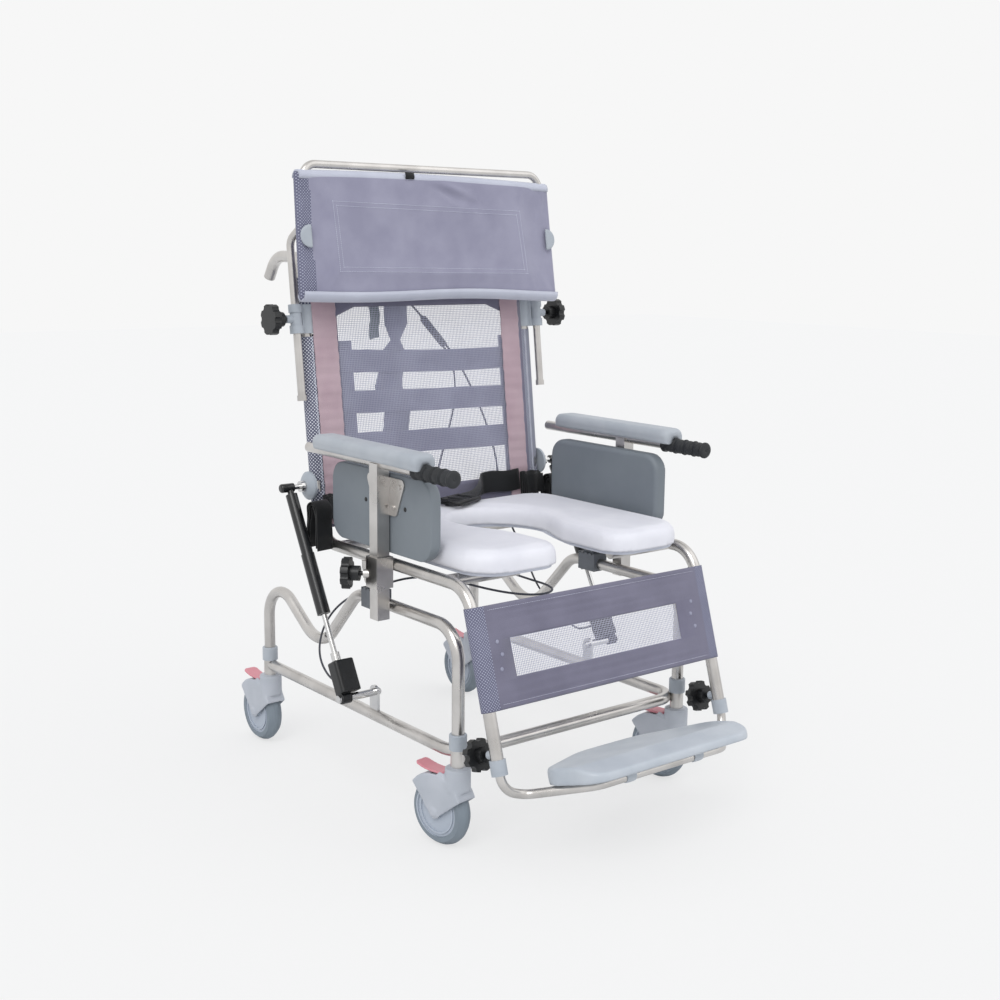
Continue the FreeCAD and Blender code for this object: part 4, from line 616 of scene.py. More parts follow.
@dataclass(frozen=True)
class Woven(Finish):
    """Woven or knitted cloth: crossing threads in relief, with painted shade between them."""

    thread_mm: float = 1.4
    depth_mm: float = 0.25
    # Share of the painted shade between the threads, toward black
    shade: float = 0.25
    sheen: float = 0.3

    def threads(self, tree: Tree) -> Socket:
        """Height of the crossing threads, from 0 to 1."""
        parts = add_node(tree, "ShaderNodeSeparateXYZ", {0: self.flat(tree)})
        rate = 2 * math.pi / (self.thread_mm * MM)
        turns = [maths(tree, "MULTIPLY", parts.outputs[axis], rate) for axis in "XY"]
        product = maths(tree, "MULTIPLY", *[maths(tree, "SINE", turn) for turn in turns])
        return maths(tree, "MULTIPLY_ADD", product, 0.5, 0.5)

    def dress(self, tree: Tree, surface: Node) -> None:
        """Adds the threads in relief, painted shade between them in the colour, and the cloth's sheen."""
        height = self.threads(tree)
        # Painted shade: the colour is darkened toward black where the threads' relief is low
        dark = self.blend(tree, self.shade, self.mottled(tree), (0.0, 0.0, 0.0, 1.0))
        feed(tree, surface, {"Base Color": self.blend(tree, height, dark, self.mottled(tree)),
                             "Sheen Weight": self.sheen, "Sheen Roughness": 0.6, "Specular IOR Level": 0.2})
        self.bump(tree, surface, height, self.depth_mm)


@dataclass(frozen=True)
class SpacerMesh(Finish):
    """Dark knitted spacer fabric whose staggered holes let the white lining show as small dots."""

    dot: str = "#D9DBE2"
    pitch_mm: float = 4.6
    dot_mm: float = 1.5

    def dress(self, tree: Tree, surface: Node) -> None:
        """Adds the dots in colour and the holes in relief."""
        turned = add_node(tree, "ShaderNodeMapping", {"Vector": self.flat(tree),
                                                      "Rotation": (0.0, 0.0, math.radians(45)),
                                                      "Scale": (1.0 / (self.pitch_mm * MM),) * 3})
        cells = add_node(tree, "ShaderNodeTexVoronoi", {"Vector": turned.outputs["Vector"], "Scale": 1.0,
                                                        "Randomness": 0.0}, voronoi_dimensions="2D")
        edge = self.dot_mm / self.pitch_mm
        hole = spread(tree, cells.outputs["Distance"], edge * 0.7, edge * 1.1, 1.0, 0.0)
        feed(tree, surface, {"Base Color": self.blend(tree, hole, self.mottled(tree), linear(self.dot)),
                             "Specular IOR Level": 0.25})
        self.bump(tree, surface, maths(tree, "SUBTRACT", 1.0, hole), 0.5)


# Every finish of the chair, by its short name
FINISHES: dict[str, Finish] = {
    # Stainless tube: pale warm grey metal
    "steel": PolishedSteel("brushed_stainless_tube", "#BCB9B6", "#CFCCC9", 0.28),
    # Bright pins, bolts and the gas springs' rods: turned and polished
    "bright": PolishedSteel("polished_steel_pin", "#C9C9CA", "#D6D5D3", 0.16),
    # Black enamelled spring cylinders: smooth stoved paint
    "enamel": Moulded("black_stoved_enamel", "#0C0D0F", "#121316", 0.30, grain_depth_mm=0.008, coat=0.3),
    # Nylon caster forks: blue-grey, satin
    "caster": Moulded("grey_nylon_fork", "#B4B8C0", "#AAAFB7", 0.42),
    # Red brake pedals: faded by washing
    "pedal": Moulded("faded_red_pedal", "#D58E97", "#CB808A", 0.45),
    # Collars, clamps and lens-shaped discs: light grey acetal
    "collar": Moulded("grey_acetal_collar", "#A9AFB6", "#9EA5AD", 0.45),
    # Star knobs and release heads: black polyamide
    "black": Moulded("black_polyamide", "#0D0E10", "#131517", 0.38),
    # Saddles on the hump tubes: dark grey glass-filled nylon
    "saddle": Moulded("dark_grey_nylon_saddle", "#6B6F75", "#61656B", 0.5),
    # Hand grips: black soft rubber
    "grip": Moulded("black_grip_rubber", "#191B1E", "#202327", 0.55, grain_depth_mm=0.07),
    # Side panels: blue-grey ABS, drawn over a form
    "panel": Moulded("blue_grey_panel", "#757C82", "#6E757C", 0.55, mottle_mm=120.0),
    # Foot plate: pale moulded polypropylene
    "plate": Moulded("pale_polypropylene", "#B4BAC1", "#AAB1B9", 0.36),
    # Seat board: pale hard sheet
    "board": Moulded("seat_board_sheet", "#C6C9D4", "#BCC0CB", 0.6),
    # Arm pads: grey foam with a closed skin
    "pad": FoamSkin("grey_foam_skin", "#A9AEB4", "#9FA5AC", 0.55),
    # Seat: near-white foam with a closed skin
    "seat": FoamSkin("pale_foam_skin", "#DEDEE4", "#D7D7DE", 0.50),
    # Headrest cloth: brushed lilac-grey knit
    "cloth": Woven("lilac_grey_knit", "#9695A9", "#8B8A9F", 0.85, thread_mm=2.4, depth_mm=0.12, shade=0.12),
    # Folded binding tape: pale lilac twill
    "binding": Woven("pale_binding_tape", "#C0C3D0", "#B8BBC9", 0.8, thread_mm=2.2, depth_mm=0.15,
                     shade=0.12),
    # Back and calf cloth: grey-violet coated weave
    "sling": Woven("grey_violet_weave", "#747286", "#6B697D", 0.8, thread_mm=2.0, depth_mm=0.2, shade=0.2),
    # Coloured bands on the back: dusty pink webbing
    "band": Woven("dusty_pink_webbing", "#BDA5AD", "#B39AA3", 0.8, thread_mm=2.2, depth_mm=0.25, shade=0.15),
    # Tension straps behind the net
    "strap": Woven("grey_violet_strap", "#9697AE", "#8C8DA4", 0.85, thread_mm=2.4, depth_mm=0.2, shade=0.15),
    # Small green strap behind the net
    "green": Woven("dark_green_strap", "#62766F", "#586C65", 0.85, thread_mm=2.2, depth_mm=0.2, shade=0.2),
    # Lap belt: black polyester webbing
    "belt": Woven("black_belt_webbing", "#0E0F11", "#16181B", 0.40, thread_mm=2.6, depth_mm=0.3, shade=0.4,
                  sheen=0.08),
    # Net side strips of the sling: dark spacer knit with pale dots
    "mesh": SpacerMesh("dotted_spacer_mesh", "#5E6074", "#56586B", 0.85),
    # Edge strips of the headrest's cover and the calf panel: the same knit, its dots smaller and duller
    "edging": SpacerMesh("dull_spacer_mesh", "#6C6D82", "#636479", 0.85, dot="#A7A9BA", pitch_mm=3.9,
                         dot_mm=1.2),
    # Small studs beside the calf window
    "stud": Moulded("violet_grey_stud", "#9293A6", "#86879B", 0.5),
    # Net threads of the windows
    "net": Moulded("net_thread", "#B4B5C6", "#A9AABC", 0.8),
    # Sewing thread of the sleeves' zigzag seams
    "thread": Moulded("pale_sewing_thread", "#D8DBE5", "#C9CCD8", 0.7),
    # Sewing thread of the quilting and the calf panel's hems: nearly the cloth's own colour
    "quilting": Moulded("lilac_quilting_thread", "#C9CBD9", "#BDBFD0", 0.7),
    # Cable sheath: dull black
    "cable": Moulded("cable_sheath", "#3A3C46", "#32343D", 0.5)}


# Repeats made with Geometry Nodes
def run_tree(name: str, tree: Tree, base: bpy.types.Mesh | None, values: dict[str, object]) -> Thing:
    """Runs a geometry tree on a mesh and keeps the result as a plain mesh.

    Args:
        name: Name of the result.
        tree: The geometry tree.
        base: The mesh that goes in.
        values: Values of the tree's named inputs.

    Returns:
        The object that holds the result.
    """
    thing = link(name, base or bpy.data.meshes.new(name))
    modifier = modify(thing, "tree", "NODES", node_group=tree)
    for item in tree.interface.items_tree:
        if item.in_out == "INPUT" and item.name in values:
            modifier[item.identifier] = values[item.name]
    return apply_modifiers(thing)


def new_tree(name: str, **inputs: str) -> tuple[Tree, Node]:
    """Starts a geometry tree.

    Args:
        name: Name of the tree.
        **inputs: Kind of each named input after the geometry.

    Returns:
        The tree and its input node.
    """
    tree = bpy.data.node_groups.new(name, "GeometryNodeTree")
    tree.interface.new_socket("Geometry", in_out="INPUT", socket_type="NodeSocketGeometry")
    for label, kind in inputs.items():
        tree.interface.new_socket(label, in_out="INPUT", socket_type=f"NodeSocket{kind}")
    tree.interface.new_socket("Geometry", in_out="OUTPUT", socket_type="NodeSocketGeometry")
    return tree, add_node(tree, "NodeGroupInput")


def close_tree(tree: Tree, given: Node, laid: dict[str, Socket]) -> Tree:
    """Ends a tree: lays a piece on every point and makes dressed, real geometry of them.

    Args:
        tree: The geometry tree.
        given: Its input node.
        laid: The points, the piece and its turn, by the input's name.

    Returns:
        The same tree.
    """
    there = add_node(tree, "GeometryNodeInstanceOnPoints", laid)
    real = add_node(tree, "GeometryNodeRealizeInstances", {"Geometry": there.outputs["Instances"]})
    dressed = add_node(tree, "GeometryNodeSetMaterial", {"Geometry": real.outputs[0],
                                                         "Material": given.outputs["Material"]})
    add_node(tree, "NodeGroupOutput", {"Geometry": dressed.outputs[0]})
    return tree


def thread_tree() -> Tree:
    """A tree that lays equal straight threads side by side along X, each running along Z."""
    tree, given = new_tree("net_threads", Count="Int", Pitch="Float", Length="Float", Width="Float",
                           Material="Material")
    step = add_node(tree, "ShaderNodeCombineXYZ", {"X": given.outputs["Pitch"]})
    line = add_node(tree, "GeometryNodeMeshLine", {"Count": given.outputs["Count"],
                                                   "Offset": step.outputs[0]})
    size = add_node(tree, "ShaderNodeCombineXYZ", {"X": given.outputs["Width"],
                                                   "Y": maths(tree, "MULTIPLY", given.outputs["Width"], 0.6),
                                                   "Z": given.outputs["Length"]})
    bar = add_node(tree, "GeometryNodeMeshCube", {"Size": size.outputs[0]})
    return close_tree(tree, given, {"Points": line.outputs["Mesh"], "Instance": bar.outputs["Mesh"]})


def stitch_tree() -> Tree:
    """A tree that sews short stitches along the edges of a mesh."""
    tree, given = new_tree("stitches", Pitch="Float", Length="Float", Width="Float", Material="Material")
    curve = add_node(tree, "GeometryNodeMeshToCurve", {"Mesh": given.outputs["Geometry"]})
    spots = add_node(tree, "GeometryNodeCurveToPoints", {"Curve": curve.outputs[0],
                                                         "Length": given.outputs["Pitch"]}, mode="LENGTH")
    half = maths(tree, "MULTIPLY", given.outputs["Width"], 0.5)
    rod = add_node(tree, "GeometryNodeMeshCylinder", {"Vertices": 5, "Radius": half,
                                                      "Depth": given.outputs["Length"]})
    return close_tree(tree, given, {"Points": spots.outputs["Points"], "Instance": rod.outputs["Mesh"],
                                    "Rotation": spots.outputs["Rotation"]})


def edge_mesh(name: str, lines: Sequence[Places]) -> bpy.types.Mesh:
    """A mesh that holds only edges, one chain for each line."""
    mesh = bpy.data.meshes.new(name)
    points, edges = [], []
    for line in lines:
        start = len(points)
        points.extend(tuple(p) for p in line)
        edges.extend((start + i, start + i + 1) for i in range(len(line) - 1))
    mesh.from_pydata(points, edges, [])
    return mesh


@dataclass
class Workshop:
    """What every sub-assembly needs: the materials, each built once, and the shared geometry trees."""

    made: dict[str, Material] = field(default_factory=dict)
    threads: Tree = field(default_factory=thread_tree)
    stitches: Tree = field(default_factory=stitch_tree)

    def look(self, finish: str) -> Material:
        """The material of a finish, built on its first use."""
        if finish not in self.made:
            self.made[finish] = FINISHES[finish].make()
        return self.made[finish]

    def sew(self, name: str, lines: Sequence[Places], pitch: float, length: float, width: float,
            thread: str) -> Thing:
        """Sews stitches along lines.

        Args:
            name: Name of the piece.
            lines: Chains of places.
            pitch: Distance from stitch to stitch in millimetres.
            length: Length of a stitch in millimetres.
            width: Thickness of the thread in millimetres.
            thread: Name of the thread's finish.

        Returns:
            The stitches as one object.
        """
        return run_tree(name, self.stitches, edge_mesh(name, lines),
                        {"Pitch": pitch * MM, "Length": length * MM, "Width": width * MM,
                         "Material": self.look(thread)})

    def net(self, name: str, half: float, low: float, high: float, onto: Onto, pitch: float = 3.6,
            width: float = 0.85) -> Thing:
        """A flat net of crossing threads.

        Args:
            name: Name of the piece.
            half: Half of its width in millimetres.
            low: Lower limit along the cloth in millimetres.
            high: Upper limit along the cloth in millimetres.
            onto: Gives the place of a point from its x, its distance along and its lift off the cloth.
            pitch: Distance from thread to thread in millimetres.
            width: Width of a thread in millimetres.

        Returns:
            The net as one object.
        """
        pieces = []
        for label, span, length in ((name, 2 * half, high - low), (name + "_level", high - low, 2 * half)):
            values = {"Count": int(span / pitch) + 1, "Pitch": pitch * MM, "Length": length * MM,
                      "Width": width * MM, "Material": self.look("net")}
            pieces.append(run_tree(label, self.threads, None, values))
        upright, level = pieces
        upright.data.transform(Matrix.Translation((-half * MM, 0.0, (low + high) / 2 * MM)))
        level.data.transform(Matrix.Translation((0.0, 0.0, low * MM)) @ Matrix.Rotation(math.pi / 2, 4, "Y")
                             @ Matrix.Scale(-1, 4, (1, 0, 0)))
        level.data.flip_normals()
        both = join(name, pieces)
        for vertex in both.data.vertices:
            x, y, z = vertex.co
            vertex.co = onto(x / MM, z / MM, -y / MM)
        both.data.update()
        face_outwards(both, 1e-7)
        return both


@dataclass
class BackSling:
    """Net back with its sleeves, pink bands and the tension straps behind it."""

    shop: Workshop
    half: float = 263.0
    wrap: float = 12.9
    bottom: float = 492.0
    top: float = 962.0
    window_half: float = 200.0
    window_low: float = 550.0
    window_high: float = 905.0
    window_cut: float = 40.0
    cloth_half: float = 213.0
    band_middle: float = 223.0
    band_low: float = 498.0
    band_high: float = 956.0
    band_widths: tuple[float, float] = (46.0, 52.0)
    band_shifts: tuple[float, float] = (-5.0, 6.0)
    strap_middles: tuple[float, ...] = (641.0, 722.0, 803.0)
    strap_height: float = 44.0
    strap_half: float = 246.0
    clamp_height: float = 885.0
    clamp_room: float = 30.0
    pin_height: float = 574.0

    def lie(self, x: float, height: float, lift: float) -> Vector:
        """A place on the sling's face, lifted off it."""
        return on_back(x, height, 12.2 + lift)

    def section(self) -> list[tuple[float, float]]:
        """The sleeve's cross section on the left, as x and distance in front of the tube's axis."""
        points = [(self.band_middle - 18.0, self.wrap), (self.half - 14.0, self.wrap)]
        for step in range(15):
            angle = math.radians(90 - step * 17)
            points.append((self.half + self.wrap * math.cos(angle), self.wrap * math.sin(angle)))
        return points + [(self.half - 15.0, 3.0), (self.half - 17.0, self.wrap - 1.0)]

    def sleeve(self, side: Side) -> Thing:
        """The dotted mesh strip that wraps one back tube, open round the headrest clamp."""
        section = self.section()
        lengths = travelled(section)
        heights = [self.bottom + i * (self.top - self.bottom) / 94 for i in range(95)]
        piece = grid_object(f"sling_sleeve_{side.word}", len(section), len(heights),
                            lambda i, j: on_back(side.value * section[i][0], heights[j], section[i][1]),
                            self.shop.look("mesh"), lambda i, j: (lengths[i] * MM, heights[j] * MM))
        piece.data.materials.append(self.shop.look("sling"))
        room = on_back(side.value * self.half, self.clamp_height, 0.0)
        pin = on_back(side.value * self.half, self.pin_height, 0.0)
        with mesh_of(piece) as work:
            gone = []
            for face in work.faces:
                spot = face.calc_center_median()
                out = abs(spot.x)
                face.material_index = int(out < (self.half - 8.0) * MM)
                by_clamp = out > (self.half - 17.0) * MM and abs((spot - room).z) < self.clamp_room * MM
                by_pin = (spot - pin).length < 22 * MM and abs(spot.z - pin.z) < 8 * MM
                if by_clamp or by_pin and out > self.half * MM:
                    gone.append(face)
            bmesh.ops.delete(work, geom=gone, context="FACES")
            if side is Side.RIGHT:
                bmesh.ops.reverse_faces(work, faces=work.faces)
        return piece

    def cloth(self) -> Thing:
        """The woven part of the sling: hems above and below the window and a margin on each side."""
        half, low, high = self.window_half, self.window_low, self.window_high
        cut, edge = self.window_cut, self.cloth_half
        lower, upper = low + cut * 0.4, high - cut * 0.4
        spots = [(-half, lower), (-half + cut * 0.6, low), (half - cut * 0.6, low), (half, lower),
                 (half, upper), (half - cut, high), (-half + cut, high), (-half, upper),
                 (-edge, lower), (-edge, self.bottom), (edge, self.bottom), (edge, lower),
                 (edge, upper), (edge, self.top), (-edge, self.top), (-edge, upper)]
        piece = mesh_object("sling_cloth", [self.lie(x, z, 0.0) for x, z in spots], quads(2, len(spots) // 2),
                            [self.shop.look("sling")], [(x * MM, z * MM) for x, z in spots])
        with mesh_of(piece) as work:
            bmesh.ops.subdivide_edges(work, edges=work.edges, cuts=6, use_grid_fill=True)
            bmesh.ops.recalc_face_normals(work, faces=work.faces)
        return piece

    def band(self, side: Side) -> Thing:
        """One pink band, with the slight ripple of sewn webbing."""
        rows = 70
        x = side.value * (self.band_middle + self.band_shifts[side is Side.RIGHT])
        line, wide = [], []
        for row in range(rows):
            height = self.band_low + (self.band_high - self.band_low) * row / (rows - 1)
            ripple = 1.1 * math.sin(row * 1.9 + side.value) + 0.6 * math.sin(row * 0.7)
            line.append(self.lie(x, height, 2.4 + ripple))
            wide.append(Vector((1.0, 0.012 * math.sin(row * 1.3), 0.0)))
        return ribbon(f"pink_band_{side.word}", line, wide, self.band_widths[side is Side.RIGHT], 1.6,
                      self.shop.look("band"))

    def zigzag(self, side: Side) -> Thing:
        """The pale zigzag seam between the band and the sleeve."""
        points = []
        for step in range(170):
            height = 500.0 + step * 2.7
            if abs(height - self.clamp_height) < 32:
                continue
            offset = 1.6 if step % 2 else -1.6
            points.append(self.lie(side.value * (self.half - 5.0 + offset), height, 1.6))
        runs, run = [], [points[0]]
        for a, b in zip(points, points[1:]):
            if (b - a).length > 8 * MM:
                runs.append(run)
                run = []
            run.append(b)
        runs.append(run)
        return self.shop.sew(f"zigzag_seam_{side.word}", runs, 3.1, 2.6, 1.4, "thread")

    def straps(self) -> list[Thing]:
        """Level tension straps behind the net, the lower ones nearly straight."""
        found = []
        for number, middle in enumerate(self.strap_middles):
            line = []
            for step in range(41):
                x = -self.strap_half + step * (self.strap_half / 20)
                sag = 6.0 * (1 - (x / self.strap_half) ** 2) * (1.0 if number == 2 else 0.3)
                line.append(on_back(x, middle - sag - x * 0.022, 3.0))
            found.append(ribbon(f"tension_strap_{number + 1}", line, [BACK_UP] * len(line),
                                self.strap_height, 1.8, self.shop.look("strap")))
        return found

    def panels(self) -> list[Thing]:
        """Upright panels that carry the straps' ends, behind the straps."""
        found = []
        for side, inner in ((Side.LEFT, 196.0), (Side.RIGHT, 164.0)):
            middle = side.value * (inner + self.strap_half) / 2
            line = [on_back(middle, height, 0.6) for height in (560.0, 610.0, 700.0, 790.0, 842.0)]
            found.append(ribbon(f"strap_panel_{side.word}", line, [Vector((1.0, 0.0, 0.0))] * len(line),
                                self.strap_half - inner, 1.2, self.shop.look("strap")))
        return found

    def tails(self) -> list[Thing]:
        """The loose strap ends that hang behind the net."""
        broad = [(-54.0, 906.0, 27.0), (-56.0, 872.0, 27.0), (-60.0, 840.0, 11.0), (-66.0, 820.0, 26.0),
                 (-74.0, 786.0, 28.0), (-84.0, 750.0, 32.0), (-66.0, 706.0, 31.0), (-72.0, 672.0, 30.0),
                 (-80.0, 640.0, 31.0), (-80.0, 600.0, 31.0)]
        spots = [(x - half, h) for x, h, half in broad] + [(x + half, h) for x, h, half in reversed(broad)]
        last = len(spots) - 1
        faces = [(i, last - i, last - 1 - i, i + 1) for i in range(len(broad) - 1)]
        flap = mesh_object("strap_tail", [on_back(x, h, -2.4) for x, h in spots], faces,
                           [self.shop.look("strap")], [(x * MM, h * MM) for x, h in spots])
        modify(flap, "cloth", "SOLIDIFY", thickness=1.2 * MM)
        apply_modifiers(flap)
        line = [on_back(-106.0 + 3.0 * math.sin(k * 0.8), 908.0 - k * 9.0, -2.4) for k in range(8)]
        wide = [Vector((1.0, 0.0, 0.25 * k / 8)) for k in range(8)]
        return [flap, ribbon("green_strap_tail", line, wide, 23.0, 1.4, self.shop.look("green"))]

    def build(self) -> None:
        """Builds the sling and puts it on the seat frame."""
        sleeves = [self.sleeve(side) for side in Side]
        sheet = join("back_sling_cloth", [self.cloth(), *sleeves])
        modify(sheet, "cloth", "SOLIDIFY", thickness=1.0 * MM, offset=0.0)
        apply_modifiers(sheet)
        net = self.shop.net("back_net", self.window_half, self.window_low, self.window_high, self.lie)
        extras = [net, *[self.band(side) for side in Side], *[self.zigzag(side) for side in Side]]
        fit((sheet, *extras), "seat_frame", "sling")
        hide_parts("back_sling")
        wide = 2 * self.cloth_half + 2 * travelled(self.section())[-1]
        straps = self.straps() + self.panels() + self.tails()
        fit(straps, "seat_frame", "strap")
        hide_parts("back_straps")
        LOG.info("back sling: %d pieces", 1 + len(extras) + len(straps))


@dataclass
class Headrest:
    """Padded cover over the bent rod, with bindings, quilting seam and side fittings."""

    shop: Workshop
    top_half: float = 300.0
    bottom_half: float = 308.0
    low: float = 913.0
    high: float = 1143.0
    rear: float = 48.0
    front: float = 76.0
    seam: Pairs = ((-228.0, 1094.0), (214.0, 1086.0), (226.0, 961.0), (-222.0, 966.0))
    most_swell: float = 4.0

    def half_at(self, height: float) -> float:
        """Half of the cover's width at a height."""
        share = (height - self.low) / (self.high - self.low)
        return self.bottom_half + (self.top_half - self.bottom_half) * share

    def swell(self, x: float, height: float) -> float:
        """How far the padding and the folds lift the front, in millimetres."""
        u = x / self.top_half
        v = (height - self.low) / (self.high - self.low)
        crown = 4.0 * max(0.0, (1 - abs(u) ** 4)) * math.sin(math.pi * min(max(v, 0.0), 1.0)) ** 0.5
        folds = 0.0
        for slope, start, depth in ((-0.62, 0.02, 4.6), (-0.40, -0.01, 4.2), (-0.22, -0.03, 2.6)):
            line = 1.0 + slope * (u - 0.02) - v + start
            ramp = max(0.0, min(1.0, (u + 0.14) / 0.26))
            reach = eased(ramp) * max(0.0, 1 - max(0.0, u - 0.1) / 0.5)
            reach *= max(0.0, min(1.0, (0.985 - v) / 0.08))
            crease = math.exp(-(line / 0.035) ** 2) - 0.8 * math.exp(-((line - 0.07) / 0.036) ** 2)
            folds += depth * reach * crease
        folds += 1.3 * math.sin(u * 9 + 1.2) * math.sin(v * 3.1) * (0.5 + 0.5 * math.sin(u * 3 - 0.5))
        folds += 0.5 * math.sin(u * 41) * max(0.0, 0.22 - v) * 4
        return crown + folds

    def point_at(self, u: float, v: float, front: bool) -> Vector:
        """A place on the cover.

        Args:
            u: From -1 on the right edge to 1 on the left edge.
            v: From 0 at the bottom to 1 at the top.
            front: Whether it lies on the front or the rear face.

        Returns:
            The place in metres.
        """
        hang = 2.2 * math.sin(u * 4.2 + 0.6) - 2.0 - 5.0 * max(0.0, u) ** 2
        arch = 6.0 - 3.0 * u + 5.0 * math.cos(1.57 * u)
        wave = hang * (1 - v) + arch * v
        height = self.low + 3.0 + (self.high - self.low - 6.0) * v + wave
        half = self.half_at(height) - 1.0
        x = u * half
        round_u = max(0.0, (abs(u) - 0.955) / 0.045)
        round_v = max(0.0, (abs(v - 0.5) - 0.46) / 0.04)
        edge = math.sqrt(max(0.0, 1 - min(1.0, round_u ** 2 + round_v ** 2)))
        middle = (self.rear + self.front) / 2
        reach = (self.front - self.rear) / 2
        if front:
            out = middle + reach * edge * 0.86 + (self.swell(x, height) - 1.0) * edge * 0.55
        else:
            out = middle - reach * edge
        return on_back(x, height, out)

    def shell(self) -> Thing:
        """The closed cover as one quad mesh."""
        across, along = 151, 59
        tall = self.high - self.low
        points, flats = [], []
        for in_front in (True, False):
            for j in range(along):
                for i in range(across):
                    u, v = 2 * i / (across - 1) - 1, j / (along - 1)
                    points.append(self.point_at(u, v, in_front))
                    flats.append((u * self.top_half * MM, v * tall * MM + (0.0 if in_front else 0.5)))
        face = quads(along, across, closed=False)
        rear = [tuple(across * along + corner for corner in reversed(quad)) for quad in face]
        piece = mesh_object("headrest_cover_padded", points, face + rear,
                            [self.shop.look("cloth"), self.shop.look("edging")], flats)
        face_outwards(piece, 0.00005)
        with mesh_of(piece) as work:
            for face in work.faces:
                face.material_index = int(face.calc_center_median().x < -(self.top_half - 26.0) * MM)
        return piece

    def swelled(self, piece: Thing) -> Thing:
        """Swells the cover with a cloth simulation held along its seams.

        Args:
            piece: The closed cover.

        Returns:
            The same object with its points moved.
        """
        mesh = piece.data
        rest = np.array([v.co for v in mesh.vertices])
        seam = [on_back(x, h, self.front) for x, h in self.seam]
        pins = piece.vertex_groups.new(name="held")
        for vertex in mesh.vertices:
            spot = vertex.co
            nearest = min(self.gap(spot, seam[k], seam[(k + 1) % 4]) for k in range(4))
            x_gap = self.half_at(self.low) * MM - abs(spot.x)
            top = on_back(0.0, self.high, self.front).z - spot.z
            low = spot.z - on_back(0.0, self.low, self.rear).z
            rim = min(x_gap, top, low)
            weight = max(0.0, 1 - nearest / 0.006, 1 - max(rim, 0.0) / 0.016)
            if weight > 0:
                pins.add([vertex.index], min(1.0, weight), "REPLACE")
        cloth = modify(piece, "padding", "CLOTH")
        settings = cloth.settings
        settings.quality = 5
        settings.mass = 0.3
        settings.tension_stiffness = 12
        settings.compression_stiffness = 12
        settings.bending_stiffness = 0.6
        settings.use_pressure = True
        settings.uniform_pressure_force = 4.0
        settings.vertex_group_mass = "held"
        settings.effector_weights.gravity = 0.0
        cloth.collision_settings.use_collision = False
        cloth.point_cache.frame_start = 1
        cloth.point_cache.frame_end = 20
        for frame_number in range(1, 21):
            bpy.context.scene.frame_set(frame_number)
        graph = bpy.context.evaluated_depsgraph_get()
        moved = np.array([v.co for v in piece.evaluated_get(graph).data.vertices])
        piece.modifiers.clear()
        bpy.context.scene.frame_set(1)
        shift = moved - rest
        size = np.linalg.norm(shift, axis=1, keepdims=True)
        shift *= np.minimum(1.0, self.most_swell * MM / np.maximum(size, 1e-9))
        mesh.vertices.foreach_set("co", (rest + shift).astype(np.float32).ravel())
        mesh.update()
        LOG.info("headrest cloth moved %.1f mm at most", float(np.linalg.norm(shift, axis=1).max()) / MM)
        return piece

    @staticmethod
    def gap(spot: Vector, start: Vector, end: Vector) -> float:
        """Distance of a place from a straight run, in metres."""
        along = end - start
        share = max(0.0, min(1.0, (spot - start).dot(along) / along.length_squared))
        return (spot - start - along * share).length

    def front_finder(self, piece: Thing) -> Onto:
        """Gives a function that drops a place onto the cover's front."""
        toward = -BACK_FORWARD

        def drop(x: float, height: float, lift: float) -> Vector:
            """The place on the cover's front that a ray from in front of it meets, lifted off it."""
            start = on_back(x, height, 160.0)
            hit, spot, _, _ = piece.ray_cast(start, toward)
            return (spot if hit else on_back(x, height, self.front)) - toward * (lift * MM)

        return drop

    def seams(self, drop: Onto) -> Thing:
        """Double quilting seam: two lines of stitches round the cover's middle."""
        lines = []
        cx = sum(x for x, _ in self.seam) / 4
        cz = sum(h for _, h in self.seam) / 4
        for inset in (0.0, 8.0):
            corners = [(x + math.copysign(inset, cx - x), h + math.copysign(inset, cz - h))
                       for x, h in self.seam]
            for (x0, h0), (x1, h1) in zip(corners, corners[1:] + corners[:1]):
                count = max(2, int(math.dist((x0, h0), (x1, h1)) / 6))
                lines.append([drop(x0 + (x1 - x0) * k / count, h0 + (h1 - h0) * k / count, 0.25)
                              for k in range(count + 1)])
        return self.shop.sew("headrest_seam", lines, 3.6, 2.5, 0.8, "quilting")

    def binding(self, high: bool) -> Thing:
        """Folded tape over the top or bottom edge."""
        fold = ((16.0, 13.2), (16.2, 14.6), (9.0, 14.4), (2.0, 11.0), (-1.5, 4.0), (-2.2, -3.0), (0.5, -9.0),
                (6.0, -14.2), (12.0, -15.0), (12.0, -13.6), (4.0, -10.0), (2.0, 0.0), (4.0, 9.0), (9.0, 12.4))
        inwards = Vector((0, 0, -1.0 if high else 1.0))
        rings = []
        for i in range(121):
            edge = self.point_at(-0.985 + 1.97 * i / 120, 1.0 if high else 0.0, True)
            rings.append([edge + inwards * (a * MM) + BACK_FORWARD * (b * MM * 0.92) for a, b in fold])
        flats = [(j * 5 * MM, i * 3 * MM) for j in range(len(rings)) for i in range(len(fold))]
        name = "headrest_binding_top" if high else "headrest_binding_bottom"
        return closed_loft(name, rings, self.shop.look("binding"), flats, merge=0.0)

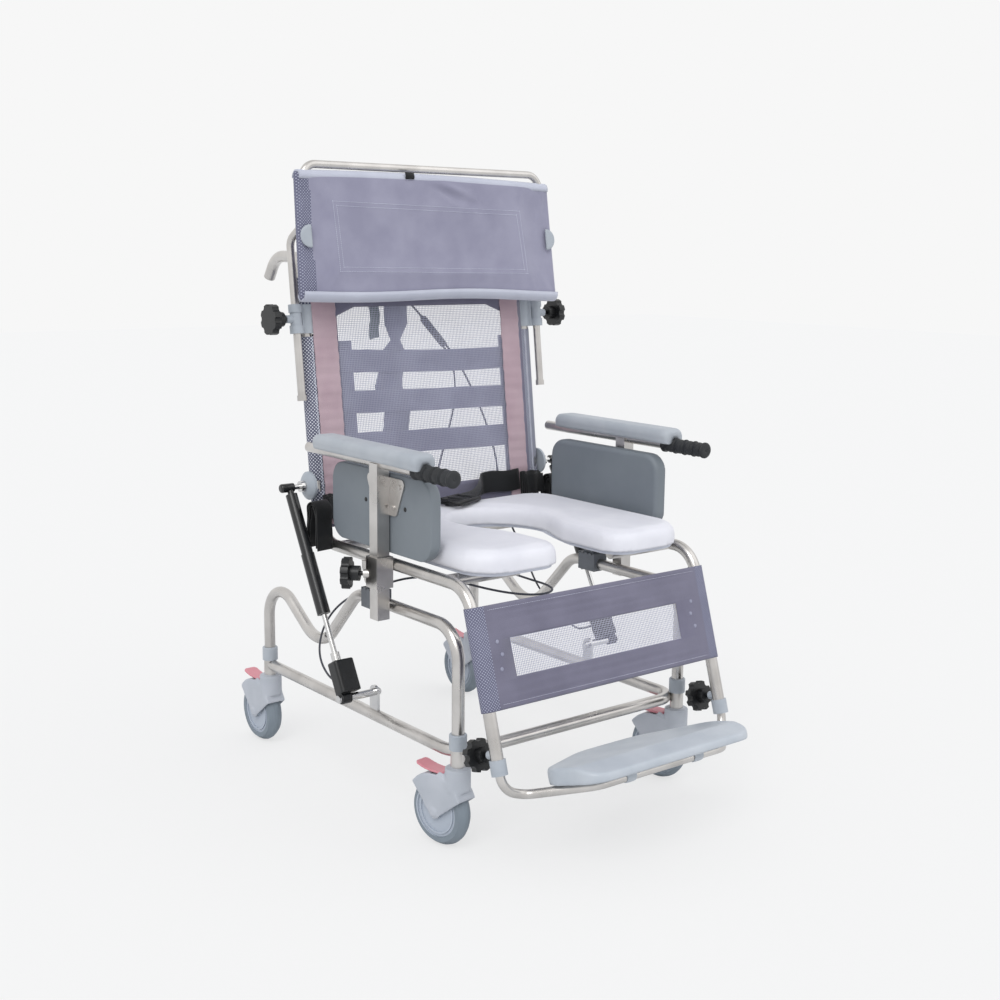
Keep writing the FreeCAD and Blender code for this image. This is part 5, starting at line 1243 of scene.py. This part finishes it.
    def fittings(self) -> list[Thing]:
        """Grey half discs at the cover's side edges, and the loop at the top."""
        found = []
        for side in Side:
            centre = on_back(side.value * (self.half_at(1052.0) - 22.0), 1030.0, self.front - 1.0)
            disc = lathe(f"headrest_fitting_{side.word}", centre, BACK_FORWARD,
                         [(0.0, 21.0), (1.6, 21.0), (2.6, 19.6), (2.9, 16.0)], 40, self.shop.look("collar"))
            cut = centre - Vector((side.value * 2.0, 0, 0)) * MM
            with mesh_of(disc) as work:
                bmesh.ops.bisect_plane(work, geom=work.verts[:] + work.edges[:] + work.faces[:], plane_co=cut,
                                       plane_no=Vector((side.value, 0, 0)), clear_inner=True)
                bmesh.ops.holes_fill(work, edges=[e for e in work.edges if e.is_boundary])
                bmesh.ops.recalc_face_normals(work, faces=work.faces)
            found.append(disc)
        line = [on_back(-52.0, 1140.0 + 3 * k, self.front + 1.0 - abs(2 - k) * 0.8) for k in range(5)]
        found.append(ribbon("headrest_loop", line, [Vector((1, 0, 0))] * 5, 20.0, 1.6,
                            self.shop.look("belt")))
        return found

    def build(self) -> None:
        """Builds the headrest's cover."""
        cover = self.swelled(self.shell())
        seams = self.seams(self.front_finder(cover))
        parts = [seams, self.binding(True), self.binding(False), *self.fittings()]
        modify(cover, "smooth", "SUBSURF", levels=1, render_levels=1)
        apply_modifiers(cover)
        fit((cover, *parts), "headrest", "headrest_cloth")
        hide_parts("headrest_cover")
        LOG.info("headrest: %d pieces", 1 + len(parts))


@dataclass
class Seat:
    """Moulded seat cushion with an open front and a keyhole aperture."""

    shop: Workshop
    half: float = 247.0
    front: float = -38.0
    rear: float = 402.0
    corner: float = 70.0
    lip: float = 56.0
    wide: float = 92.0
    widest: float = 215.0
    deep: float = 325.0
    neck: float = 95.0
    low: float = 485.6
    high: float = 523.0

    def outline(self) -> list[tuple[float, float]]:
        """The seat's outline as x and distance behind the front posts, once round."""
        lobe = (self.half - self.lip) / 4
        right: list[tuple[float, float]] = []

        def arc(cx: float, cy: float, rx: float, ry: float, start: float, end: float, count: int) -> None:
            """Adds the points of an arc round a centre, from one angle in degrees to another."""
            for k in range(count + 1):
                angle = math.radians(start + (end - start) * k / count)
                right.append((cx + rx * math.cos(angle), cy + ry * math.sin(angle)))

        c = self.corner
        arc(self.half - c, self.rear - c, c, c, 90, 0, 12)
        arc(self.half - c, self.front + c, c, c, 0, -90, 12)
        arc(self.lip + lobe, self.front + lobe, lobe, lobe, -90, -180, 10)
        for k in range(1, 8):
            share = k / 8
            right.append((self.lip + (self.wide - self.lip) * eased(share),
                          self.neck + (self.widest - self.neck) * share))
        arc(0.0, self.widest, self.wide, self.deep - self.widest, 0, 90, 16)
        left = [(-x, y) for x, y in reversed(right)]
        return right + left[1:-1] if abs(right[-1][0]) < 1e-6 else right + left

    def build(self) -> None:
        """Builds the cushion from its outline: rounded, drawn in at the sides and crowned."""
        outline = self.outline()
        rings = [[place(x, y, z) for x, y in outline] for z in (self.low, self.high - 6.0)]
        pad = closed_loft("seat_cushion_foam", rings, self.shop.look("seat"))
        with mesh_of(pad) as work:
            bmesh.ops.triangulate(work, faces=[f for f in work.faces if len(f.verts) > 4])
        modify(pad, "even", "REMESH", mode="VOXEL", voxel_size=0.0045)
        apply_modifiers(pad)
        loose = pad.vertex_groups.new(name="loose")
        for vertex in pad.data.vertices:
            free = min(1.0, max(0.0, (vertex.co.z / MM - self.low - 1.0) / 9.0))
            loose.add([vertex.index], free, "REPLACE")
        modify(pad, "round", "SMOOTH", factor=0.6, iterations=46, vertex_group="loose")
        apply_modifiers(pad)
        mesh = pad.data
        spots = np.array([v.co for v in mesh.vertices])
        flat = np.stack([spots[:, 0] / MM, spots[:, 1] / MM - FRONT_POST], axis=1)
        gap = np.full(len(flat), 1e9)
        for (x0, y0), (x1, y1) in zip(outline, outline[1:] + outline[:1]):
            start, along = np.array([x0, y0]), np.array([x1 - x0, y1 - y0])
            length = max(1e-9, float(along @ along))
            share = np.clip(((flat - start) @ along) / length, 0, 1)
            gap = np.minimum(gap, np.linalg.norm(flat - start - share[:, None] * along, axis=1))
        level = np.clip((spots[:, 2] / MM - self.low) / (self.high - 8.0 - self.low), 0, 1)
        rise = 11.0 * (1 - np.exp(-gap / 24.0)) * level ** 2
        dish = -3.0 * np.exp(-(((flat[:, 0]) / 150.0) ** 2)) * level ** 2
        spots[:, 2] += np.maximum(0.0, rise + dish * (gap > 12)) * MM
        spots[:, 2] = np.minimum(spots[:, 2], self.high * MM)
        mesh.vertices.foreach_set("co", spots.astype(np.float32).ravel())
        mesh.polygons.foreach_set("use_smooth", [True] * len(mesh.polygons))
        mesh.materials.clear()
        mesh.materials.append(self.shop.look("seat"))
        mesh.update()
        fit([pad], "seat_frame", "cushion")
        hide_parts("seat_cushion")
        LOG.info("seat: 1 piece, %d points", len(mesh.vertices))


@dataclass
class CalfPanel:
    """Cloth behind the calves with a net window."""

    shop: Workshop
    half: float = 263.0
    wrap: float = 12.9
    length: float = 173.6
    window_half: float = 194.0
    window_shift: float = -10.0
    window_low: float = 60.0
    window_high: float = 125.0

    def ripple(self, x: float, down: float) -> float:
        """Small level waves that the pull between the tubes puts into the cloth, in millimetres."""
        if abs(x) > self.half - 20.0:
            return 0.0
        fade = min(1.0, (self.half - 20.0 - abs(x)) / 40.0)
        wave = math.sin(down * 0.42 + 0.006 * x) + 0.6 * math.sin(down * 0.93 + 0.011 * x + 1.0)
        return 0.8 * fade * wave

    def rivets(self) -> Thing:
        """Small round studs beside the window, three on each side."""
        parts = []
        for side in Side:
            for across, down in ((228.0, 62.0), (222.0, 84.0), (228.0, 108.0)):
                centre = on_calf(side.value * across - 4.0, down, self.wrap + 0.4)
                parts.append(lathe("stud", centre, CALF_FORWARD,
                                   [(0.0, 3.6), (0.7, 3.4), (1.1, 2.4), (1.2, 0.8)], 18,
                                   self.shop.look("stud")))
        return join("calf_rivets", parts)

    def build(self) -> None:
        """Builds the panel: sleeves, hems, net and studs."""
        left = []
        for step in range(15):
            angle = math.radians(-148 + step * 17)
            left.append((self.half + self.wrap * math.cos(angle), self.wrap * math.sin(angle)))
        left += [(self.half - 15.0, self.wrap), (self.half - 30.0, self.wrap)]
        right = [(-x, out) for x, out in reversed(left)]
        middle = [(self.window_shift + self.window_half * tenths / 10, self.wrap)
                  for tenths in range(10, -11, -1)]
        section = left + middle + right
        downs = [self.window_low * k / 14 for k in range(15)]
        downs += [self.window_high + (self.length - self.window_high) * k / 12 for k in range(13)]
        lengths = travelled(section)

        def at(i: int, j: int) -> Vector:
            """The place of a point from its column and row."""
            x, out = section[i]
            return on_calf(x, downs[j], out + self.ripple(x, downs[j]))

        piece = grid_object("calf_panel_cloth", len(section), len(downs), at, self.shop.look("sling"),
                            lambda i, j: (lengths[i] * MM, downs[j] * MM))
        low = on_calf(0, self.window_high, 0).z + self.wrap * 0.29 * MM
        high = on_calf(0, self.window_low, 0).z + self.wrap * 0.3 * MM
        with mesh_of(piece) as work:
            gone = []
            for face in work.faces:
                spot = face.calc_center_median()
                if abs(spot.x / MM - self.window_shift) < self.window_half - 1 and low < spot.z < high:
                    gone.append(face)
            bmesh.ops.delete(work, geom=gone, context="FACES")
            bmesh.ops.recalc_face_normals(work, faces=work.faces)
        piece.data.materials.append(self.shop.look("edging"))
        for face in piece.data.polygons:
            face.material_index = int(abs(face.center.x) > (self.half - 16.0) * MM)
        modify(piece, "cloth", "SOLIDIFY", thickness=1.0 * MM, offset=0.0)
        apply_modifiers(piece)
        net = self.shop.net("calf_net", self.window_half, self.window_low, self.window_high,
                            lambda x, down, lift: on_calf(x + self.window_shift, down, self.wrap + lift))
        seams = self.shop.sew("calf_seams", [[on_calf(x, d, 13.9) for x in range(-240, 241, 12)]
                                             for d in (8.0, self.length - 8.0)], 3.8, 2.5, 0.7, "quilting")
        rivets = self.rivets()
        fit((piece, net, seams, rivets), "seat_frame", "sling")
        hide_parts("calf_panel")
        LOG.info("calf panel: 4 pieces")


@dataclass
class Armrest:
    """Foam pad and finger grip on one arm rail, with the side panel's small plugs."""

    shop: Workshop
    side: Side
    middle: float = 292.0
    half_width: float = 25.6
    rear: float = 387.0
    front: float = 55.0
    bottom: float = 655.2
    top: float = 683.6
    hollow: float = 54.0
    panel_face: float = 276.5

    def grip(self) -> Thing:
        """Rubber grip: finger swells between raised flanges, a domed end with a small vent hole."""
        low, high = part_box(f"hand_grip_{self.side.word}")
        length, radius = (high.y - low.y) / MM, (high.x - low.x) / 2 / MM
        profile = [(0.0, 1.2), (0.9, 1.8), (0.2, 2.6), (0.1, radius - 3.5), (1.0, radius - 1.2),
                   (2.6, radius)]
        step = (length - 12.0) / 4
        for swell in range(4):
            start = 6.0 + swell * step
            profile += [(start - 1.2, radius), (start, radius - 0.4), (start + 1.2, radius - 3.4)]
            profile += [(start + step * (0.15 + 0.1 * k), radius - 3.2 + 1.9 * math.sin(math.pi * k / 7))
                        for k in range(8)]
        profile += [(length - 5.0, radius - 0.3), (length - 1.2, radius), (length - 0.2, radius - 1.4),
                    (length, 10.2)]
        centre = Vector(((low.x + high.x) / 2, low.y, (low.z + high.z) / 2))
        return lathe(f"grip_rubber_{self.side.word}", centre, Vector((0, 1, 0)), profile, 40,
                     self.shop.look("grip"))

    def pad(self) -> Thing:
        """The pad: rounded top, softened ends, hollow under its front end over the grip."""
        rings = []
        total = self.rear - self.front
        lengths = [0.0, 1.2, 3.5, 7.0, 12.0, 20.0, 34.0, self.hollow - 1.0, self.hollow + 1.5, 72.0, 100.0,
                   150.0, 200.0, 250.0, 290.0]
        lengths += [total - left for left in (30.0, 17.0, 9.0, 4.0, 1.0, 0.0)]
        for length in lengths:
            near = min(length, total - length)
            ease = math.sqrt(max(0.0, 1 - (1 - min(1.0, near / 16.0)) ** 2))
            half = self.half_width * (0.62 + 0.38 * ease)
            top = self.bottom + (self.top - self.bottom) * (0.70 + 0.30 * ease)
            ring = []
            radius = 15.6 if length < self.hollow else 9.9
            for angle in range(0, 181, 15):
                a = math.radians(angle)
                ring.append((-radius * math.cos(a) * min(1.0, half / self.half_width + 0.1),
                             max(self.bottom, 652.0 + radius * math.sin(a))))
            ring.append((half * 0.93, self.bottom))
            for angle in range(-30, 91, 15):
                a = math.radians(angle)
                ring.append((half - 12.0 + 12.0 * math.cos(a), top - 13.0 + 13.0 * math.sin(a)))
            ring.append((0.0, top))
            ring += [(-x, z) for x, z in reversed(ring[13:-1])]
            rings.append([place(self.side.value * (self.middle + x), self.front + length, z)
                          for x, z in ring])
        piece = closed_loft(f"arm_pad_foam_{self.side.word}", rings, self.shop.look("pad"))
        modify(piece, "smooth", "SUBSURF", levels=1, render_levels=1)
        return apply_modifiers(piece)

    def screws(self) -> Thing:
        """Two small dark plugs on the outer face of the side panel."""
        parts = []
        for back in (138.0, 262.0):
            centre = place(self.side.value * (self.panel_face - 0.6), back, 576.0)
            parts.append(lathe("plug", centre, Vector((self.side.value, 0, 0)),
                               [(0.0, 4.0), (1.2, 4.0), (1.8, 3.2), (1.9, 1.5)], 20, self.shop.look("black")))
        return join(f"panel_plugs_{self.side.word}", parts)

    def build(self) -> None:
        """Builds the pad, the plugs and the grip of one armrest."""
        pad, plugs, grip = self.pad(), self.screws(), self.grip()
        for piece, slot in ((pad, "pad"), (plugs, "black_plastic"), (grip, "grip_rubber")):
            fit([piece], f"armrest_{self.side.word}", slot)
        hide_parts(f"arm_pad_{self.side.word}")
        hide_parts(f"hand_grip_{self.side.word}")
        LOG.info("armrest %s: 3 pieces", self.side.word)


@dataclass
class LapBelt:
    """Black webbing belt with its ladder buckle and folded ends."""

    shop: Workshop
    level: float = 530.6
    buckle_back: float = 366.0
    turn: float = math.radians(20.0)
    width: float = 44.0
    thick: float = 2.6
    front_of_sling: float = 14.6

    def strap(self, side: Side) -> Thing:
        """Webbing from the buckle that twists upright and runs to the folded end."""
        along = Vector((math.cos(self.turn), math.sin(self.turn), 0)) * side.value
        flat = Vector((-math.sin(self.turn), math.cos(self.turn), 0))
        begin = place(6.0, self.buckle_back, self.level) + along * (38.0 * MM)
        end = on_back(side.value * 214.0, 541.0, self.front_of_sling + 4.0)
        middle = on_back(side.value * 118.0, 541.0, self.front_of_sling + 4.0)
        line, wide = [], []
        for k in range(41):
            t = k / 40
            if t < 0.55:
                s = t / 0.55
                spot = begin.lerp(middle, s)
                spot.z += 3.0 * MM * math.sin(math.pi * s)
                wide.append((flat * (1 - eased(s)) - Vector((0, 0.12, 1)) * eased(s)).normalized())
            else:
                s = (t - 0.55) / 0.45
                spot = middle.lerp(end, s)
                spot.z += 1.5 * MM * math.sin(7 * s)
                wide.append(-Vector((0.04 * math.sin(5 * s), 0.12, 1)).normalized())
            line.append(spot)
        return ribbon(f"belt_strap_{side.word}", line, wide, self.width, self.thick, self.shop.look("belt"))

    def fold(self, side: Side) -> list[Thing]:
        """Layers of folded webbing in front of the sling's sleeve."""
        found = []
        layers = ((4.0, 508.0, 556.0), (10.5, 510.0, 555.0), (17.0, 509.0, 553.0), (23.0, 512.0, 551.0))
        for number, (lift, low, high) in enumerate(layers):
            line, wide = [], []
            for k in range(13):
                bow = 1.4 * math.sin(k * 0.9 + number)
                line.append(on_back(side.value * (217.0 + k * 3.9),
                                    (low + high) / 2 + 1.2 * math.sin(k + number * 2),
                                    self.front_of_sling + lift + bow))
                wide.append(Vector((0.1 * math.sin(k * 0.7 + number), 0.12, 1)).normalized())
            found.append(ribbon(f"belt_fold_{side.word}_{number + 1}", line, wide, high - low, self.thick,
                                self.shop.look("belt")))
        return found

    def bundle(self, side: Side) -> list[Thing]:
        """Spare webbing doubled over in front of the back tube's outer side, three loops one inside the other."""
        found = []
        loops = ((0.0, 34.0, 0.0), (5.5, 31.0, 1.0), (11.0, 28.0, -0.5))
        for number, (shrink, width, shift) in enumerate(loops):
            low, high = 462.0, 552.0 - shrink
            line, wide = [], []
            for k in range(33):
                back = 407.0 - (20.0 - shrink) * math.cos(math.pi * k / 32)
                share = math.sin(math.pi * k / 32) ** 0.45
                height = low + shrink * 0.8 + (high - low - shrink * 0.8) * share
                x = 287.0 + shift + 1.2 * math.sin(k * 0.6 + number)
                line.append(place(side.value * x, back, height))
                wide.append(Vector((1.0, 0.08 * math.sin(k * 0.5 + number), 0.05 * math.cos(k * 0.4))))
            found.append(ribbon(f"belt_bundle_{side.word}_{number + 1}", line, wide, width, self.thick,
                                self.shop.look("belt")))
        return found

    def buckle(self) -> Thing:
        """Ladder buckle: a frame of round bars with three cross bars, on a thin plate."""
        black = self.shop.look("black")
        parts = []
        turn = Matrix.Rotation(self.turn, 4, "Z")
        shift = Matrix.Translation(place(6.0, self.buckle_back, 523.4))
        bars = [((-38, y), (38, y), 5.0) for y in (-25, 25)]
        uprights = ((-38, 4.5), (38, 4.5), (0, 5.5), (-17, 3.5), (17, 3.5))
        bars += [((x, -25), (x, 25), radius) for x, radius in uprights]
        for (x0, y0), (x1, y1), radius in bars:
            start, end = Vector((x0, y0, 6.5)) * MM, Vector((x1, y1, 6.5)) * MM
            length = (end - start).length / MM
            parts.append(lathe("bar", start, end - start,
                               [(-2.0, radius * 0.5), (-0.8, radius * 0.9), (0.0, radius), (length, radius),
                                (length + 0.8, radius * 0.9), (length + 2.0, radius * 0.5)], 14, black))
        plate = lathe("plate", Vector((0, 0, 2.0)) * MM, Vector((0, 0, 1)),
                      [(0.0, 24.0), (4.0, 24.0), (5.0, 22.0)], 4, black)
        plate.data.transform(Matrix.Diagonal((1.9, 1.1, 1.0, 1.0)) @ Matrix.Rotation(math.pi / 4, 4, "Z"))
        parts.append(plate)
        buckle = join("belt_buckle", parts)
        buckle.data.transform(shift @ turn)
        return buckle

    def build(self) -> None:
        """Builds the belt."""
        pieces = [self.buckle()]
        for side in Side:
            pieces += [self.strap(side), *self.fold(side), *self.bundle(side)]
        fit(pieces, "seat_frame", "webbing")
        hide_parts("lap_belt")
        LOG.info("lap belt: %d pieces", len(pieces))


@dataclass
class ReleaseCables:
    """Cables of the tilt release: one down behind the headrest, a splitter, two on to the gas springs.

    The points of each route lie beside the middle, behind the front posts and above the floor.
    """

    shop: Workshop
    diameter: float = 4.0
    upper_length: float = 285.0
    right_length: float = 1265.0
    left_length: float = 460.0
    upper: Route = (
        (-238.3, 503.5, 967.4), (-196.0, 506.0, 966.5), (-148.0, 513.0, 965.0), (-98.0, 520.0, 957.0),
        (-46.0, 520.5, 941.0), (-5.5, 515.0, 911.5), (22.0, 511.0, 880.0))
    right: Route = (
        (67.3, 504.0, 822.6), (80.4, 502.1, 807.6), (89.5, 498.5, 781.0), (92.5, 495.0, 747.0),
        (88.0, 490.5, 708.0), (74.5, 485.5, 669.0), (56.0, 479.5, 628.0), (40.0, 475.0, 590.0),
        (26.0, 470.5, 552.0), (13.0, 466.0, 512.0), (2.0, 452.0, 478.0), (-6.0, 424.0, 452.0),
        (-12.0, 386.0, 442.0), (-17.0, 345.0, 438.5), (-22.0, 300.0, 436.0), (-28.0, 255.0, 433.5),
        (-30.5, 210.0, 432.5), (-35.5, 165.0, 430.5), (-38.0, 120.0, 430.0), (-37.0, 78.0, 429.0),
        (-40.0, 38.0, 430.0), (-53.0, 2.0, 430.5), (-84.0, -20.0, 432.0), (-122.0, -22.0, 435.0),
        (-155.0, -3.0, 439.0), (-178.0, 30.0, 443.0), (-193.0, 70.0, 446.5),
        (-206.0, 112.0, 449.0), (-218.0, 155.0, 446.0), (-228.0, 198.0, 437.0), (-233.0, 237.0, 424.0),
        (-234.0, 275.0, 409.0), (-235.0, 295.0, 401.5))
    left: Route = (
        (72.7, 504.0, 827.4), (85.8, 502.1, 812.4), (103.0, 499.5, 790.0), (118.0, 497.0, 764.0),
        (132.0, 494.0, 738.0), (146.0, 490.5, 708.0), (160.0, 487.0, 677.0), (171.0, 483.0, 644.0),
        (181.0, 478.5, 610.0), (187.0, 474.0, 575.0), (189.0, 470.0, 540.0), (190.0, 464.0, 506.0),
        (193.0, 452.0, 474.0), (200.0, 438.0, 444.0), (211.0, 429.0, 413.0), (218.5, 427.0, 397.5))
    right_tail: Route = (
        (-235.0, 295.0, 401.5), (-236.0, 315.0, 394.0), (-240.0, 355.0, 377.0), (-246.0, 390.0, 357.0),
        (-256.0, 415.0, 332.0), (-270.0, 425.0, 303.0), (-286.0, 416.0, 272.0), (-297.0, 394.0, 248.0),
        (-302.0, 361.0, 229.0), (-304.0, 325.0, 222.7), (-304.0, 290.9, 241.4))
    left_tail: Route = (
        (218.5, 427.0, 397.5), (226.0, 425.0, 382.0), (241.0, 426.0, 352.0), (256.0, 430.0, 326.0),
        (270.0, 427.0, 300.0), (286.0, 416.0, 272.0), (297.0, 394.0, 248.0), (302.0, 361.0, 229.0),
        (304.0, 325.0, 222.7), (304.0, 290.9, 241.4))

    def line(self, name: str, route: Route, stiff: bool) -> Thing:
        """One smooth cable along its route.

        Args:
            name: Name of the piece.
            route: Its points.
            stiff: Whether it stays a curve that rides on one body, or becomes a mesh.

        Returns:
            The cable's object.
        """
        curve = bpy.data.curves.new(name, "CURVE")
        curve.dimensions = "3D"
        spline = curve.splines.new("NURBS")
        spline.points.add(len(route) - 1)
        for point, spot in zip(spline.points, route):
            point.co = (*place(*spot), 1.0)
        spline.order_u = 3
        spline.use_endpoint_u = True
        spline.resolution_u = 8
        curve.bevel_depth = self.diameter / 2 * MM
        curve.bevel_resolution = 3
        curve.use_fill_caps = True
        source = link(name if stiff else name + "_line", curve)
        if stiff:
            curve.materials.append(self.shop.look("cable"))
            return source
        graph = bpy.context.evaluated_depsgraph_get()
        mesh = bpy.data.meshes.new_from_object(source.evaluated_get(graph))
        bpy.data.objects.remove(source)
        mesh.materials.clear()
        mesh.materials.append(self.shop.look("cable"))
        mesh.polygons.foreach_set("use_smooth", [True] * len(mesh.polygons))
        return link(name, mesh)

    def build(self) -> None:
        """Builds the cables, the splitter and the two free stretches."""
        upper = self.line("cable_upper", self.upper, True)
        right = self.line("cable_right", self.right, True)
        left = self.line("cable_left", self.left, True)
        top, low = place(*self.upper[-1]), place(70.0, 504.0, 825.0)
        length = (low - top).length / MM
        barrel = lathe("cable_splitter", top, low - top,
                       [(-7.0, 2.6), (-1.0, 4.2), (0.0, 7.0), (6.0, 7.4), (length - 6.0, 7.4), (length, 7.0),
                        (length + 1.5, 5.0)], 24, self.shop.look("cable"))
        fit((upper, right, left, barrel), "seat_frame", "webbing")
        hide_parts("release_cables")
        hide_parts("release_cables")
        for piece, route, length, extra in ((upper, self.upper, self.upper_length, [barrel]),
                                            (right, self.right, self.right_length, []),
                                            (left, self.left, self.left_length, [])):
            tuple(place(*route[0]))
            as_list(extra)
        for side, route in ((Side.RIGHT, self.right_tail), (Side.LEFT, self.left_tail)):
            tail = self.line(f"cable_tail_{side.word}", route, False)
            place(*route[0])
            place(*route[-1])
            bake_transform(tail)
            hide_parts("cable_tails")
        LOG.info("release cables: 6 pieces")


@dataclass
class Frame:
    """The solids that come from the part itself: each gets its finish."""

    shop: Workshop
    nodes: dict[str, Thing]
    finishes: tuple[tuple[str, tuple[str, ...]], ...] = (
        ("steel", ("hump_tube", "lower_frame", "side_tube", "cross_bars", "tilt_hinges", "arm_sockets",
                   "arm_frame", "headrest_frame", "footrest_loop")),
        ("bright", ("spring_brackets", "spring_top_pins", "spring_rod")),
        ("collar", ("post_collars", "tube_clamps", "spacer_discs")),
        ("black", ("release_head", "headrest_knob", "arm_knob", "footrest_knob")),
        ("enamel", ("lever_bracket", "release_lever", "spring_cylinder")),
        ("saddle", ("pivot_saddles",)), ("caster", ("caster_fork",)), ("pedal", ("brake_pedal",)),
        ("board", ("seat_board",)), ("grip", ("hand_grip",)), ("panel", ("side_panel",)),
        ("plate", ("foot_plate",)))
    softened: tuple[tuple[str, float, int], ...] = (
        ("foot_plate", 2.4, 26), ("caster_fork", 1.6, 16), ("brake_pedal", 1.2, 6), ("release_head", 1.2, 5),
        ("side_panel", 2.0, 5))

    def soften(self, name: str, thing: Thing) -> None:
        """Rounds the edges of a moulded solid with modifiers alone."""
        for start, voxel, rounds in self.softened:
            if name.startswith(start):
                modify(thing, "even", "REMESH", mode="VOXEL", voxel_size=voxel * MM, use_smooth_shade=True)
                modify(thing, "round", "SMOOTH", factor=0.5, iterations=rounds)

    def build(self) -> None:
        """Gives every node its material and softens the moulded ones."""
        for name, thing in self.nodes.items():
            look = self.wheel(name) if name.startswith("caster_wheel") else None
            for finish, starts in self.finishes:
                if name.startswith(starts):
                    look = self.shop.look(finish)
            if look:
                for slot in thing.material_slots:
                    slot.material = look
            self.soften(name, thing)
        LOG.info("frame: %d solids dressed", len(self.nodes))

    def wheel(self, name: str) -> Material:
        """The plastic of one caster wheel: a dull darker tread round its own axle's paler hub."""
        low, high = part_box(name)
        centre = tuple((a + b) / 2 for a, b in zip(low, high))
        return WheelPlastic(f"wheel_{name.removeprefix('caster_wheel_')}", "#7D8790", "#757F88", 0.6,
                            grain_mm=2.0, grain_depth_mm=0.06, centre=centre).make()


@dataclass
class Studio:
    """Pale floor, even light and the camera at the photograph's angle. Places here are in metres."""

    focal_px: float = 1389.4
    yaw: float = math.radians(38.31)
    pitch: float = math.radians(-10.32)
    roll: float = math.radians(0.61)
    stand: tuple[float, float, float] = (-1.606, -2.0495, 1.023)
    backdrop: str = "#F7F7F7"
    floor_half: float = 14.0
    sensor: float = 36.0
    picture_px: float = 1000.0

    def camera(self) -> None:
        """Places the camera."""
        data = bpy.data.cameras.new("camera")
        data.sensor_width = self.sensor
        data.lens = self.focal_px * self.sensor / self.picture_px
        camera = link("camera", data)
        look = Vector((math.sin(self.yaw) * math.cos(self.pitch), math.cos(self.yaw) * math.cos(self.pitch),
                       math.sin(self.pitch)))
        level = Vector((math.cos(self.yaw), -math.sin(self.yaw), 0.0))
        rise = level.cross(look)
        right = level * math.cos(self.roll) + rise * math.sin(self.roll)
        up = rise * math.cos(self.roll) - level * math.sin(self.roll)
        turn = Matrix((right, up, -look)).transposed().to_4x4()
        camera.matrix_world = Matrix.Translation(self.stand) @ turn
        bpy.context.scene.camera = camera

    def lights(self) -> None:
        """Even world light and two soft suns."""
        world = bpy.data.worlds.new("studio")
        bpy.context.scene.world = world
        tree = cleared(world)
        rays = add_node(tree, "ShaderNodeLightPath").outputs
        seen = maths(tree, "MAXIMUM", rays["Is Camera Ray"], rays["Is Glossy Ray"])
        seen = maths(tree, "MAXIMUM", seen, rays["Is Transmission Ray"])
        light = add_node(tree, "ShaderNodeBackground", {"Color": linear("#F4F6FA"), "Strength": 0.92})
        shown = add_node(tree, "ShaderNodeBackground", {"Color": linear(self.backdrop), "Strength": 1.0})
        mix = add_node(tree, "ShaderNodeMixShader", {0: seen, 1: light.outputs[0], 2: shown.outputs[0]})
        add_node(tree, "ShaderNodeOutputWorld", {"Surface": mix.outputs[0]})
        for name, strength, angle, toward in (("key_sun", 1.1, 35.0, (0.75, 0.55, -0.95)),
                                              ("fill_sun", 0.45, 60.0, (-0.6, 0.7, -0.8))):
            data = bpy.data.lights.new(name, "SUN")
            data.energy = strength
            data.angle = math.radians(angle)
            sun = link(name, data)
            sun.rotation_mode = "QUATERNION"
            sun.rotation_quaternion = Vector(toward).to_track_quat("-Z", "Y")

    def floor(self) -> None:
        """A wide pale floor that keeps the chair's soft shadow."""
        material = bpy.data.materials.new("pale_studio_floor")
        tree = cleared(material)
        rays = add_node(tree, "ShaderNodeLightPath").outputs
        cast = add_node(tree, "ShaderNodeBsdfDiffuse", {"Color": linear("#E2E2E1")})
        glow = add_node(tree, "ShaderNodeEmission", {"Color": linear(self.backdrop), "Strength": 1.0})
        mix = add_node(tree, "ShaderNodeMixShader", {0: maths(tree, "MULTIPLY", rays["Is Camera Ray"], 0.7),
                                                     1: cast.outputs[0], 2: glow.outputs[0]})
        add_node(tree, "ShaderNodeOutputMaterial", {"Surface": mix.outputs[0]})
        half = self.floor_half
        corners = [Vector((x * half, y * half, 0.0)) for x, y in ((-1, -1), (1, -1), (1, 1), (-1, 1))]
        floor = mesh_object("floor", corners, [(0, 1, 2, 3)], [material])

    def build(self) -> None:
        """Sets the stage."""
        bpy.context.scene.view_settings.view_transform = "Standard"
        self.camera()
        self.lights()
        self.floor()
        LOG.info("studio: ready")


def main() -> None:
    """Builds the chair's looks round the part."""
    logging.basicConfig(level=logging.INFO, format="%(message)s")
    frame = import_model()
    shop = Workshop()
    Studio().build()
    ReleaseCables(shop).build()
    Frame(shop, frame["nodes"]).build()
    BackSling(shop).build()
    Headrest(shop).build()
    Seat(shop).build()
    CalfPanel(shop).build()
    for side in Side:
        Armrest(shop, side).build()
    LapBelt(shop).build()


if __name__ == "__main__":
    main()
